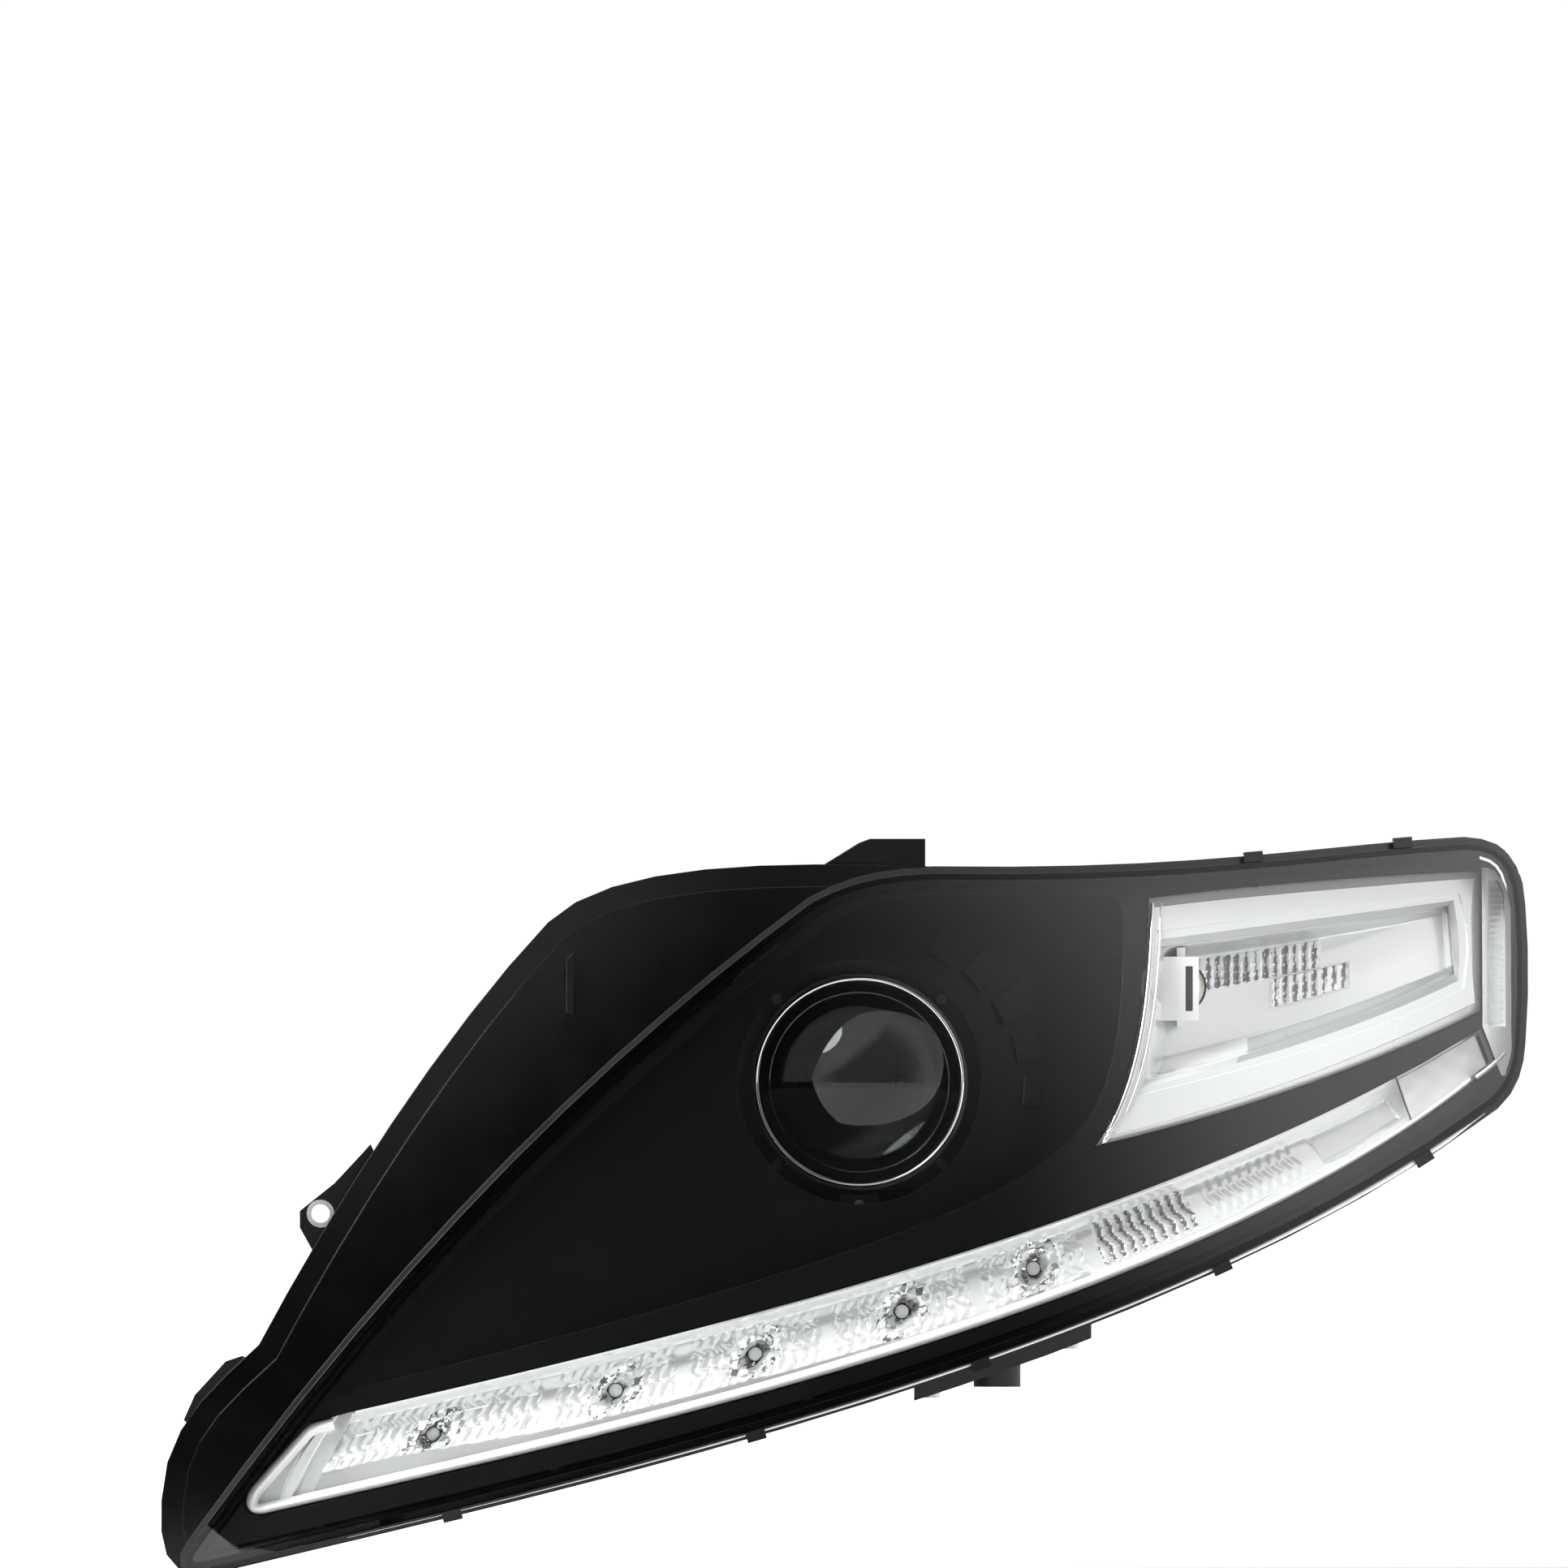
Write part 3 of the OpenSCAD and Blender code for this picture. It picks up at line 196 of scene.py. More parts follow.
MAT = {
    "black_shell": plastic("black_shell", (0.0014, 0.0014, 0.0015), (0.12, 0.2), 0.5, 0.03,
                           Specular_IOR_Level=0.25),
    "black_bezel": plastic("black_bezel", (0.0022, 0.003, 0.0027), (0.3, 0.36), 0.25, 0.004,
                           Specular_IOR_Level=0.15),
    "cover": clear("cover", (0.99, 0.995, 0.995), 1.46),
    "rubber": plastic("rubber", (0.012, 0.012, 0.013), (0.6, 0.8), 0.5, 0.3),
    "cap_rubber": plastic("cap_rubber", (0.018, 0.018, 0.02), (0.5, 0.72), 0.7, 0.35,
                          (0.03, 0.03, 0.032)),
    "clip_steel": metal("clip_steel", (0.05, 0.05, 0.055), (0.3, 0.42)),
    "spring_steel": metal("spring_steel", (0.62, 0.63, 0.65), (0.2, 0.36)),
    "steel": metal("steel", (0.66, 0.66, 0.64), (0.22, 0.4)),
    "dark_steel": metal("dark_steel", (0.12, 0.12, 0.125), (0.35, 0.5)),
    "cover_edge": plastic("cover_edge", (0.014, 0.014, 0.0145), (0.25, 0.4), 0.8, 0.03),
    "metallised": metal("metallised", (0.95, 0.955, 0.96), (0.1, 0.18), Metallic=0.35),
    "mirror": metal("mirror", (0.93, 0.935, 0.94), (0.05, 0.1), Metallic=0.88),
    # painted shade: the next two darker metals go on channels, reveals and flute grooves that lie in shade
    "shade_grey_silver": metal("shade_grey_silver", (0.6, 0.605, 0.61), (0.26, 0.36), Metallic=0.5),
    "deep_shade_silver": metal("deep_shade_silver", (0.2, 0.2, 0.205), (0.2, 0.3), Metallic=0.6),
    "satin_silver": metal("satin_silver", (0.9, 0.905, 0.91), (0.26, 0.34), Metallic=0.5),
    "bright_lip": metal("bright_lip", (0.96, 0.965, 0.97), (0.2, 0.3), Metallic=0.25),
    "chrome": metal("chrome", (0.9, 0.9, 0.9), (0.05, 0.1)),
    "cast_alloy": metal("cast_alloy", (0.3, 0.31, 0.32), (0.42, 0.6), 1.0, 0.5),
    # painted shade: the reflector bowl's mirror is painted dark grey so the inside of the projector reads dim
    "painted_shade_bowl": metal("painted_shade_bowl", (0.16, 0.17, 0.165), (0.3, 0.42)),
    "holder_alloy": metal("holder_alloy", (0.07, 0.075, 0.075), (0.4, 0.55), 1.0, 0.4),
    "dark_plastic": plastic("dark_plastic", (0.014, 0.015, 0.017), (0.42, 0.58), 0.5, 0.25),
    "grey_plastic": plastic("grey_plastic", (0.13, 0.135, 0.14), (0.42, 0.58), 0.5, 0.22,
                            (0.16, 0.165, 0.17)),
    "white_plastic": plastic("white_plastic", (0.72, 0.72, 0.68), (0.36, 0.52), 0.6, 0.18,
                             (0.66, 0.65, 0.6), Subsurface_Weight=0.05),
    "board": plastic("board", (0.015, 0.09, 0.045), (0.28, 0.42), 0.7, 0.1),
    "glass": clear("glass", (0.97, 0.985, 0.98), 1.5),
    "smoked_glass": clear("smoked_glass", (0.36, 0.385, 0.375), 1.5),
    "frosted": plastic("frosted", (0.93, 0.935, 0.93), (0.3, 0.42), 1.5, 0.3, (0.8, 0.81, 0.8),
                       Transmission_Weight=0.1),
    "silvered_amber": metal("silvered_amber", (0.8, 0.74, 0.66), (0.08, 0.16)),
    "brass": metal("brass", (0.78, 0.66, 0.42), (0.2, 0.32)),
    "led": plastic("led", (0.8, 0.78, 0.62), (0.25, 0.35), 0.4, 0.1, (0.68, 0.66, 0.5),
                   Coat_Weight=0.6),
}
LOOK = {
    "black_shell": ["housing"],
    "black_bezel": ["bezel"],
    "cover": ["front_lens"],
    "rubber": ["lens_seal"],
    "cap_rubber": ["low_beam_cap", "turn_access_cap", "vent_caps"],
    "clip_steel": ["lens_clips"],
    "spring_steel": ["bulb_clip"],
    "steel": ["mount_sleeves", "foot_screws", "bezel_screws", "board_screws", "bracket_screws", "pitch_pins",
              "swivel_pins", "shutter_pin", "plunger", "motor_screws", "driver_screws"],
    "dark_steel": ["shutter", "projector_screws"],
    "metallised": ["drl_reflector", "position_reflector", "turn_reflector", "side_reflector", "turn_shield"],
    "satin_silver": ["turn_frame"],
    "bright_lip": ["drl_lip"],
    "chrome": ["lens_ring"],
    "cast_alloy": ["aim_frame", "drl_driver"],
    "holder_alloy": ["lens_holder"],
    "painted_shade_bowl": ["reflector_bowl"],
    "dark_plastic": ["lower_foot", "pivot_bracket_left", "pivot_bracket_right", "solenoid", "bulb_plug",
                     "level_motor", "main_connector"],
    "grey_plastic": ["position_holder", "turn_holder"],
    "white_plastic": ["aim_nut", "level_rod", "vertical_adjuster", "horizontal_adjuster"],
    "board": ["drl_board"],
    "glass": ["projector_glass", "low_beam_bulb", "position_bulb"],
    "silvered_amber": ["turn_bulb"],
    "brass": ["connector_pins"],
    "led": ["drl_leds"],
}
for look, names in LOOK.items():
    for name in names:
        mesh = nodes[name].data
        mesh.materials.clear()
        mesh.materials.append(MAT[look])


SKIN_DEPTH = 6             # how far behind the cover's outer face its clear skin can reach, mm
SKIN_FACING = 0.9          # least share of a skin face's normal along the form's radius


def darken_cover_edges():
    """The cover's side walls and flange are dark; only its front skin is clear."""
    cover = nodes["front_lens"]
    cover.data.materials.append(MAT["cover_edge"])
    for face in cover.data.polygons:
        at = (cover.matrix_world @ face.center - ORIGIN) * 1000 - FORM_C
        facing = abs((cover.matrix_world.to_3x3() @ face.normal).dot(at.normalized()))
        if facing < SKIN_FACING or FORM_R - at.length > SKIN_DEPTH:
            face.material_index = 1


darken_cover_edges()

# ---------- mesh helpers ----------


def piece(name, points, faces, body, look, slot, stands_for=(), crease=35, tones=()):
    """A closed mesh piece from points in the lamp's own frame. Edges sharper than `crease` degrees stay
    sharp. Each of the tones is another look and the numbers of the faces that get it."""
    mesh = bpy.data.meshes.new(name)
    mesh.from_pydata([place(*p) for p in points], [], faces)
    mesh.materials.append(MAT[look])
    for tone, painted in tones:
        mesh.materials.append(MAT[tone])
        for k in painted:
            mesh.polygons[k].material_index = len(mesh.materials) - 1
    bm = bmesh.new()
    bm.from_mesh(mesh)
    bmesh.ops.remove_doubles(bm, verts=bm.verts, dist=1e-6)
    bmesh.ops.delete(bm, geom=[v for v in bm.verts if not v.link_faces], context="VERTS")
    bmesh.ops.recalc_face_normals(bm, faces=bm.faces)
    bm.to_mesh(mesh)
    bm.free()
    mesh.polygons.foreach_set("use_smooth", [True] * len(mesh.polygons))
    mesh.set_sharp_from_angle(angle=math.radians(crease))
    o = bpy.data.objects.new(name, mesh)
    scene.collection.objects.link(o)
    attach(o, body)
    if stands_for:
        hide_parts(*stands_for)
    return o


def sheet(name, columns, rows, front, back_depth, body, look, slot, keep=None, loop=False, tones=(),
          **more):
    """A closed sheet over a grid. front(i, j) gives (x, z, depth). Its rear face lies at back_depth, or at
    back_depth(depth) where that is a function. keep(i, j) says which squares exist. A loop joins its two
    ends. Each of the tones is another look and a function that says which squares get it."""
    ring = columns if loop else columns + 1
    fronts = [front(i, j) for i in range(ring) for j in range(rows + 1)]
    rear = back_depth if callable(back_depth) else (lambda depth: back_depth)
    points = [(x, form_y(x, z, d), z) for x, z, d in fronts]
    points += [(x, form_y(x, z, rear(d)), z) for x, z, d in fronts]
    half = len(fronts)

    def at(i, j):
        return (i % ring) * (rows + 1) + j

    kept = [(i, j) for i in range(columns) for j in range(rows) if keep is None or keep(i, j)]
    squares = [(at(i, j), at(i + 1, j), at(i + 1, j + 1), at(i, j + 1)) for i, j in kept]
    painted = [(tone, [k for k, (i, j) in enumerate(kept) if test(i, j)]) for tone, test in tones]
    edges = {(q[k], q[(k + 1) % 4]) for q in squares for k in range(4)}
    faces = squares + [tuple(half + k for k in reversed(q)) for q in squares]
    faces += [(b, a, half + a, half + b) for a, b in edges if (b, a) not in edges]
    return piece(name, points, faces, body, look, slot, tones=painted, **more)


def lathe(name, profile, body, look, slot, centre=(0, 0), sides=160, dark=None, **more):
    """Turns a profile of (radius, y) points about a line along Y. A profile that leaves the axis comes back
    to it; any other is closed on itself. dark(radius, y) says which corners start a blackened band."""
    closed = profile[0][0] > 0
    count = len(profile)
    turns = [2 * math.pi * k / sides for k in range(sides)]
    points = [(centre[0] + r * math.cos(a), y, centre[1] + r * math.sin(a))
              for a in turns for r, y in profile]
    faces = []
    for k in range(sides):
        this, after = k * count, (k + 1) % sides * count
        for j in range(count if closed else count - 1):
            a, b = j, (j + 1) % count
            corners = [this + a, after + a, after + b, this + b]
            if profile[a][0] == 0:
                corners.remove(after + a)
                corners[0] = a
            if profile[b][0] == 0:
                corners = [c for c in corners if c != after + b]
                corners[-1] = b
            faces.append(corners)
    bands = len(faces) // sides
    if dark:
        blackened = [k for k in range(len(faces)) if dark(*profile[k % bands])]
        more["tones"] = [("holder_alloy", blackened)]
    return piece(name, points, faces, body, look, slot, **more)


def rod(name, path, radii, body, look, slot, sides=14, **more):
    """A round bar along a path of points, with a radius for each."""
    points, faces = [], []
    for k, p in enumerate(path):
        way = Vector(path[min(k + 1, len(path) - 1)]) - Vector(path[max(k - 1, 0)])
        across = way.cross(Vector((0, 1, 0))).normalized()
        up = across.cross(way).normalized()
        for s in range(sides):
            a = 2 * math.pi * s / sides
            points.append(tuple(Vector(p) + (across * math.cos(a) + up * math.sin(a)) * radii[k]))
    for k in range(len(path) - 1):
        for s in range(sides):
            a, b = k * sides + s, k * sides + (s + 1) % sides
            faces.append((a, b, b + sides, a + sides))
    faces.append(tuple(reversed(range(sides))))
    faces.append(tuple(range(len(points) - sides, len(points))))
    return piece(name, points, faces, body, look, slot, **more)


# ---------- daytime strip ----------

STRIP_LOW = [(-214, -155), (-80, -124), (125, -82), (230, 6)]
STRIP_HIGH = [(-196, -121), (-60, -90), (112, -50), (225, 19)]
STRIP_LEFT = [(-214.2, -154.6), (-219.4, -153.5), (-217, -142.5), (-197.4, -121.9)]
STRIP_CELLS = [0.03, 0.215, 0.32, 0.43, 0.545, 0.635, 0.725, 0.82, 0.905]
STRIP_LEAD = 0.02          # length of its plain inboard end before t = 0
PLAIN_END = STRIP_CELLS[0] + 0.006     # where the inboard end hands over to the first cell
STRIP_END = 0.911          # where the strip hands over to the position light
STRIP_EDGE = 0.006         # share of its width left free along either edge
STRIP_COVERED = 0.988      # share of its width that the face covers
STRIP_FRONT = 15.2         # depth of its rims
STRIP_FLOOR = 28.2         # depth of the wells round the LEDs
LED_HOLE = 2.8             # radius of the hole for an LED
SHEET_WALL = 1.2           # wall of the metallised sheets
CELL_SLANT = 0.35          # slant of the walls between its cells


def strip_point(t, s):
    """A point of the strip: t runs along it and s from its lower to its upper edge."""
    if t < STRIP_CELLS[0]:
        inner = strip_point(STRIP_CELLS[0], s)
        return on(STRIP_LEFT, s).lerp(inner, (t + STRIP_LEAD) / (STRIP_CELLS[0] + STRIP_LEAD))
    return on(STRIP_LOW, t).lerp(on(STRIP_HIGH, t), s)


def strip_width(t):
    """The strip's width at t."""
    return (on(STRIP_HIGH, t) - on(STRIP_LOW, t)).length


LED_AT = [strip_point((a + b) / 2, 0.5) for a, b in zip(STRIP_CELLS[:5], STRIP_CELLS[1:])]
SHARD = (3.1, 3.6)         # size of the facets round the LEDs
FLUTE = 3.95               # pitch of the slanting flutes


def ridges(along, pitch):
    """Rounded ridges: 0 in the grooves and 1 on the crests."""
    return abs(math.sin(math.pi * along / pitch))


def zigzag(along, pitch):
    """Ridges with flat flanks: 0 in the grooves and 1 on the crests."""
    return 1 - abs(2 * ((along / pitch) % 1) - 1)


def shards(along, across, size_a, size_c, tilt, cell):
    """Flat facets, each tilted its own way."""
    i, k = math.floor(along / size_a), math.floor(across / size_c)
    da, dc = along - (i + 0.5) * size_a, across - (k + 0.5) * size_c
    return tilt * ((2 * chance(cell, i, k, "a") - 1) * da + (2 * chance(cell, i, k, "c") - 1) * dc)


def flute_at(along, across):
    """Where a point of a cell lies across its slanting, slightly wavy flutes."""
    return along + 0.5 * across + 0.55 * math.sin(across * 0.75)


def channel_top(x):
    """Height above the strip's lower edge where its plain lower channel ends."""
    return 4.9 + 6.2 * (1 - ramp(x, -190, -90)) + 2.4 * (1 - ramp(x, -90, 60))


def left_share(t):
    """How far a point of the strip's plain inboard end lies from its outer edge, 0 to 1."""
    return (t + STRIP_LEAD) / (PLAIN_END + STRIP_LEAD)


def cell_of(t):
    """The number of the cell at t."""
    return max(i for i, start in enumerate(STRIP_CELLS[:-1]) if t >= start)


def in_cell(t, s):
    """The number of the cell at a point of the strip, how far along and across the point lies from the
    cell's middle, and the cell's length and width."""
    cell = cell_of(t)
    t0, t1 = STRIP_CELLS[cell], STRIP_CELLS[cell + 1]
    length = (strip_point(t1, 0.5) - strip_point(t0, 0.5)).length
    width = strip_width(t)
    return cell, (t - (t0 + t1) / 2) / (t1 - t0) * length, (s - 0.5) * width, length, width


def to_wall(along, across, length):
    """How far a point of a cell lies from the nearer of the cell's two slanting walls."""
    return length / 2 - abs(along + CELL_SLANT * across)


def strip_depth(t, s):
    """Depth of the metallised face: rims, a flat lower channel, a floor that looks upwards, and the
    optics of the cells."""
    width = strip_width(t)
    low, high = s * width, (1 - s) * width
    top = channel_top(on(STRIP_LOW, t).x)
    floor = 1.0 + min(0.36 * max(low - top, 0.0), 9.5)
    depth = STRIP_FRONT + ramp(low, 4.2, 4.7) * 0.9 + (floor - 1.0) * ramp(high, 0.7, 5.5)
    if t < PLAIN_END:
        left = left_share(t)
        bar = ramp(left, 0.41, 0.44) * (1 - ramp(left, 0.63, 0.66))
        return STRIP_FRONT + 1.6 - 1.5 * bar + ramp(left, 0.64, 0.66) * 1.2 * (1 - left)
    if t > STRIP_CELLS[-1]:
        return depth
    cell, along, across, length, width = in_cell(t, s)
    edge = ramp(to_wall(along, across, length), 2.2, 4.0) * ramp(low, top, top + 1.4) * ramp(high, 4.6, 6.2)
    away = math.hypot(along, across)
    if cell < 5:
        near = 1 - ramp(away, 9.5, 13.0)
        relief = edge * near * shards(along + 0.3 * across, across, *SHARD, 0.9, cell)
        ropes = ridges(along + 0.55 * across + 1.2 * math.sin(across * 0.7 + cell), 4.3)
        relief += edge * (1 - near) * (0.5 - 0.8 * ropes + shards(along, across, 8.5, 7.0, 0.12, cell))
        well = (STRIP_FLOOR - depth) * (1 - ramp(away, 2.4, 6.4)) * edge
        return min(depth + relief + well, STRIP_FLOOR)
    if cell < 7:
        strength = (1.7, 0.9)[cell - 5]
        return depth + edge * (strength / 2 - strength * zigzag(flute_at(along, across), FLUTE))
    return depth + 1.1 * edge


def strip_face():
    """The metallised reflector of the strip, with a hole for the LED of each of its first five cells."""
    columns, rows = 640, 44
    span = STRIP_END + STRIP_LEAD

    def front(i, j):
        t = i / columns * span - STRIP_LEAD
        s = STRIP_EDGE + STRIP_COVERED * j / rows
        p = strip_point(t, s)
        depth = strip_depth(t, s)
        for led in LED_AT:
            if 0.01 < (p - led).length < LED_HOLE + 0.3:
                p = led + (p - led).normalized() * LED_HOLE
        return p.x, p.y, depth

    def middle(i, j):
        return (i + 0.5) / columns * span - STRIP_LEAD, STRIP_EDGE + STRIP_COVERED * (j + 0.5) / rows

    def keep(i, j):
        p = strip_point(*middle(i, j))
        return all((p - led).length > LED_HOLE - 0.1 for led in LED_AT)

    # the plain lower channel is painted grey metal: painted shade on the band above the lip
    def in_channel(i, j):
        t, s = middle(i, j)
        return PLAIN_END < t < STRIP_CELLS[5] and s * strip_width(t) < channel_top(on(STRIP_LOW, t).x)

    def polished(i, j):
        t, s = middle(i, j)
        if not PLAIN_END < t < STRIP_CELLS[5] or in_channel(i, j):
            return False
        cell, along, across, length, width = in_cell(t, s)
        if to_wall(along, across, length) < 3 or (1 - s) * width < 5:
            return False
        facet = math.floor((along + 0.3 * across) / SHARD[0]), math.floor(across / SHARD[1])
        return math.hypot(along, across) < 10.5 and chance(cell, *facet, "polish") > 0.35

    # the grooves between the flutes are painted dark metal: painted shade
    def in_groove(i, j):
        t, s = middle(i, j)
        if not STRIP_CELLS[5] < t < STRIP_CELLS[6]:
            return False
        along, across, length, width = in_cell(t, s)[1:]
        if to_wall(along, across, length) < 3 or s * width < 6 or (1 - s) * width < 5:
            return False
        return (flute_at(along, across) / FLUTE) % 1 < 0.36

    def on_bar(i, j):
        return 0.42 < left_share(middle(i, j)[0]) < 0.65

    def on_plate(i, j):
        t, s = middle(i, j)
        if not STRIP_CELLS[7] < t < STRIP_CELLS[8]:
            return False
        along, across, length, width = in_cell(t, s)[1:]
        return to_wall(along, across, length) > 3 and s * width > 5 and (1 - s) * width > 5.2

    sheet("strip_face", columns, rows, front, lambda d: d + SHEET_WALL, "lamp", "metallised", "metallised",
          keep=keep, stands_for=["drl_reflector"], crease=28,
          tones=[("shade_grey_silver", in_channel), ("mirror", polished), ("satin_silver", on_plate),
                 ("deep_shade_silver", in_groove), ("bright_lip", on_bar)])


def led_domes():
    """The milky dome over each LED chip."""
    dome = [(0, 1.3), (1.0, 1.2), (1.8, 0.9), (2.3, 0.5), (2.5, 0), (0, 0)]
    for k, led in enumerate(LED_AT):
        back = min(form_y(led.x + a, led.y + b, STRIP_FLOOR - 0.5) for a in (-2, 2) for b in (-2, 2)) - 0.1
        profile = [(r, back - rise) for r, rise in dome]
        lathe(f"led_dome_{k + 1}", profile, "lamp", "frosted", "clear_glass", centre=led, sides=32)


LIP_BACK = 15.0            # depth of the lip's foot
LIP_FRONT = 10.6           # depth of its crest
LIP_TOP = [(-189.5, -119.9), (-194, -121), (-198, -121.4), (-200.6, -124.6)]
LIP_LOOP = [(-214, -155), (-221, -156), (-223, -150), (-217.6, -143.6)]


def strip_lip():
    """The white lip: a rounded bar up the inboard end and along the strip's lower edge."""
    path = [on(LIP_TOP, k / 12) for k in range(12)]
    path += [Vector(LIP_TOP[3]).lerp(Vector(LIP_LOOP[3]), k / 20) for k in range(20)]
    path += [on(LIP_LOOP, 1 - k / 16) for k in range(16)]
    path += [on(STRIP_LOW, k / 200) for k in range(196)]
    full_until = 40            # last point of the path where the bar has its full width
    bars = 14
    last = len(path) - 1

    def front(i, j):
        way = (path[min(i + 1, last)] - path[max(i - 1, 0)]).normalized()
        inwards = Vector((-way.y, way.x))
        width = 4.2 - 1.9 * ramp(path[i].x, 60, 215) if i > full_until else 4.7
        share = j / bars
        p = path[i] + inwards * (0.15 + (width - 0.15) * share)
        crown = math.sin(math.pi * share) ** 0.42
        return p.x, p.y, LIP_BACK - (LIP_BACK - LIP_FRONT) * crown

    sheet("strip_lip", last, bars, front, LIP_BACK + 0.05, "lamp", "bright_lip", "bright_lip",
          stands_for=["drl_lip"], crease=50)


POSITION_AT = Vector((209, 0))         # middle of the position bulb


def position_face():
    """The cloudy pillow optic of the position light, with a hole for its bulb."""
    columns, rows = 90, 44
    hole = 4.9
    start, length = 0.916, 0.076           # shares of the strip's length
    low, height = 0.1, 0.84                # shares of its width

    def where(u, v):
        t = start + length * u
        return on(STRIP_LOW, t).lerp(on(STRIP_HIGH, t), low + height * v)

    def front(i, j):
        u, v = i / columns, j / rows
        p = where(u, v)
        rim = ramp(min(u, 1 - u), 0.0, 0.16) * ramp(min(v, 1 - v), 0.0, 0.22)
        pillows = math.sin(p.x * 0.62 + p.y * 0.2) * math.sin(p.y * 0.66 - p.x * 0.12)
        depth = 16.4 + rim * (9.5 + 1.1 * pillows)
        if 0.01 < (p - POSITION_AT).length < hole + 0.35:
            p = POSITION_AT + (p - POSITION_AT).normalized() * hole
        return p.x, p.y, depth

    def keep(i, j):
        return (where((i + 0.5) / columns, (j + 0.5) / rows) - POSITION_AT).length > hole - 0.1

    sheet("position_face", columns, rows, front, lambda d: d + SHEET_WALL, "lamp", "metallised", "metallised",
          keep=keep, crease=40)


def position_lens():
    """The frosted pane in front of the position light."""
    columns, rows = 60, 30
    start, length = 0.9125, 0.079          # shares of the strip's length
    low, height = 0.13, 0.81               # shares of its width

    def front(i, j):
        t = start + length * i / columns
        p = on(STRIP_LOW, t).lerp(on(STRIP_HIGH, t), low + height * j / rows)
        pillows = math.sin(p.x * 0.5 + p.y * 0.2) * math.sin(p.y * 0.55 - p.x * 0.1)
        return p.x, p.y, 13.6 + 0.35 * pillows

    sheet("position_lens", columns, rows, front, 15.2, "lamp", "frosted", "clear_glass", crease=60)


def lip_end():
    """The last stretch of the lip, on the bezel's face, from the strip to the side reflector."""
    path = [on([(223.4, 0.4), (227, 3.0), (231, 5.6), (234.2, 9.6)], k / 24) for k in range(25)]

    def front(i, j):
        way = (path[min(i + 1, 24)] - path[max(i - 1, 0)]).normalized()
        p = path[i] + Vector((-way.y, way.x)) * (1.7 * j / 8)
        return p.x, p.y, 10.85 - 1.1 * math.sin(math.pi * j / 8) ** 0.5

    sheet("lip_end", 24, 8, front, 10.9, "lamp", "bright_lip", "bright_lip", crease=50)


# ---------- the cover's flange ----------

FLANGE_FRONT = 14.4        # depth of the flange's front
COVER_LOW = [(-236, -174.5), (-100, -142), (110, -97), (230, -8)]


def flange_line():
    """A bright rod along the front of the cover's lower flange: a painted highlight where the flange catches
    the light.
    It grows from a hair's width at its inboard end to its full width near the outboard corner."""
    steps = 120
    start, length = 0.12, 0.87             # shares of the cover's lower edge
    outwards = 1.0                         # mm past that edge
    path, radii = [], []
    for k in range(steps + 1):
        t = start + length * k / steps
        way = (on(COVER_LOW, t + 0.005) - on(COVER_LOW, t - 0.005)).normalized()
        p = on(COVER_LOW, t) + Vector((way.y, -way.x)) * outwards
        path.append((p.x, form_y(p.x, p.y, FLANGE_FRONT), p.y))
        radii.append(0.12 + (0.38 * ramp(k, 0, 60) + 0.5 * ramp(k, 78, 108)) * ramp(steps - k, 0, 6))
    rod("flange_line", path, radii, "lamp", "bright_lip", "bright_lip", sides=10)


# ---------- indicator ----------

TURN_TOP = [(104, 66.2), (140, 70.7), (190, 74.7), (224.7, 75.7)]
TURN_LOW = [(84.9, -23.1), (130, -12.7), (180, 3.3), (224.7, 25.1)]
TURN_LEFT = [(84.9, -23.1), (97.3, -4), (103.3, 20), (104.2, 66.2)]
WINDOW_TOP = [(109, 48.5), (145, 53), (185, 58), (213, 63)]
WINDOW_LOW = [(103, 0), (140, 9), (180, 22), (215, 38.5)]
BULB_AT = Vector((116, 34))            # middle of the indicator's bulb
FACE_DEPTH = 12.1          # depth of the frame's flat face


def turn_loops(count):
    """Outer and inner outline of the indicator's frame, counterclockwise, as matching lists of points."""
    steps = [k / count for k in range(count)]

    def straight(a, b):
        return [Vector(a).lerp(Vector(b), t) for t in steps]

    outer = [on(TURN_LOW, t) for t in steps] + straight(TURN_LOW[3], TURN_TOP[3])
    outer += [on(TURN_TOP, 1 - t) for t in steps] + [on(TURN_LEFT, 1 - t) for t in steps]
    inner = [on(WINDOW_LOW, t) for t in steps] + straight(WINDOW_LOW[3], WINDOW_TOP[3])
    inner += [on(WINDOW_TOP, 1 - t) for t in steps] + straight(WINDOW_TOP[0], WINDOW_LOW[0])
    return outer, inner


def turn_face():
    """The satin frame round the indicator: an outer bevel, a flat face with one line, a sloping reveal."""
    count = 60
    outer, inner = turn_loops(count)
    # (millimetres in from the outer edge, or back from the window's edge, and depth)
    from_outside = [(0, 16.6), (0, 14.2), (0.3, 13.7), (3.4, 12.6), (3.7, FACE_DEPTH)]
    from_window = [(6.4, FACE_DEPTH), (6.1, 12.7), (2.9, 12.7), (2.6, 13.0), (0.2, 15.4), (0, 15.9),
                   (0, 16.9)]

    def front(i, j):
        a, b = outer[i], inner[i]
        width = (b - a).length
        if j < len(from_outside):
            step, depth = from_outside[j]
            share = min(step, 0.3 * width) / width
        else:
            step, depth = from_window[j - len(from_outside)]
            share = 1 - min(step, 0.6 * width) / width
        p = a.lerp(b, share)
        return p.x, p.y, depth

    # the sloping reveals are painted grey metal: painted shade
    def reveal(i, j):
        return j > len(from_outside) + 1 and 0.3 * count <= i < 3 * count

    sheet("turn_face", 4 * count, len(from_outside) + len(from_window) - 1, front, 16.95, "lamp",
          "satin_silver", "satin_silver", loop=True, stands_for=["turn_frame"], crease=12,
          tones=[("shade_grey_silver", reveal)])


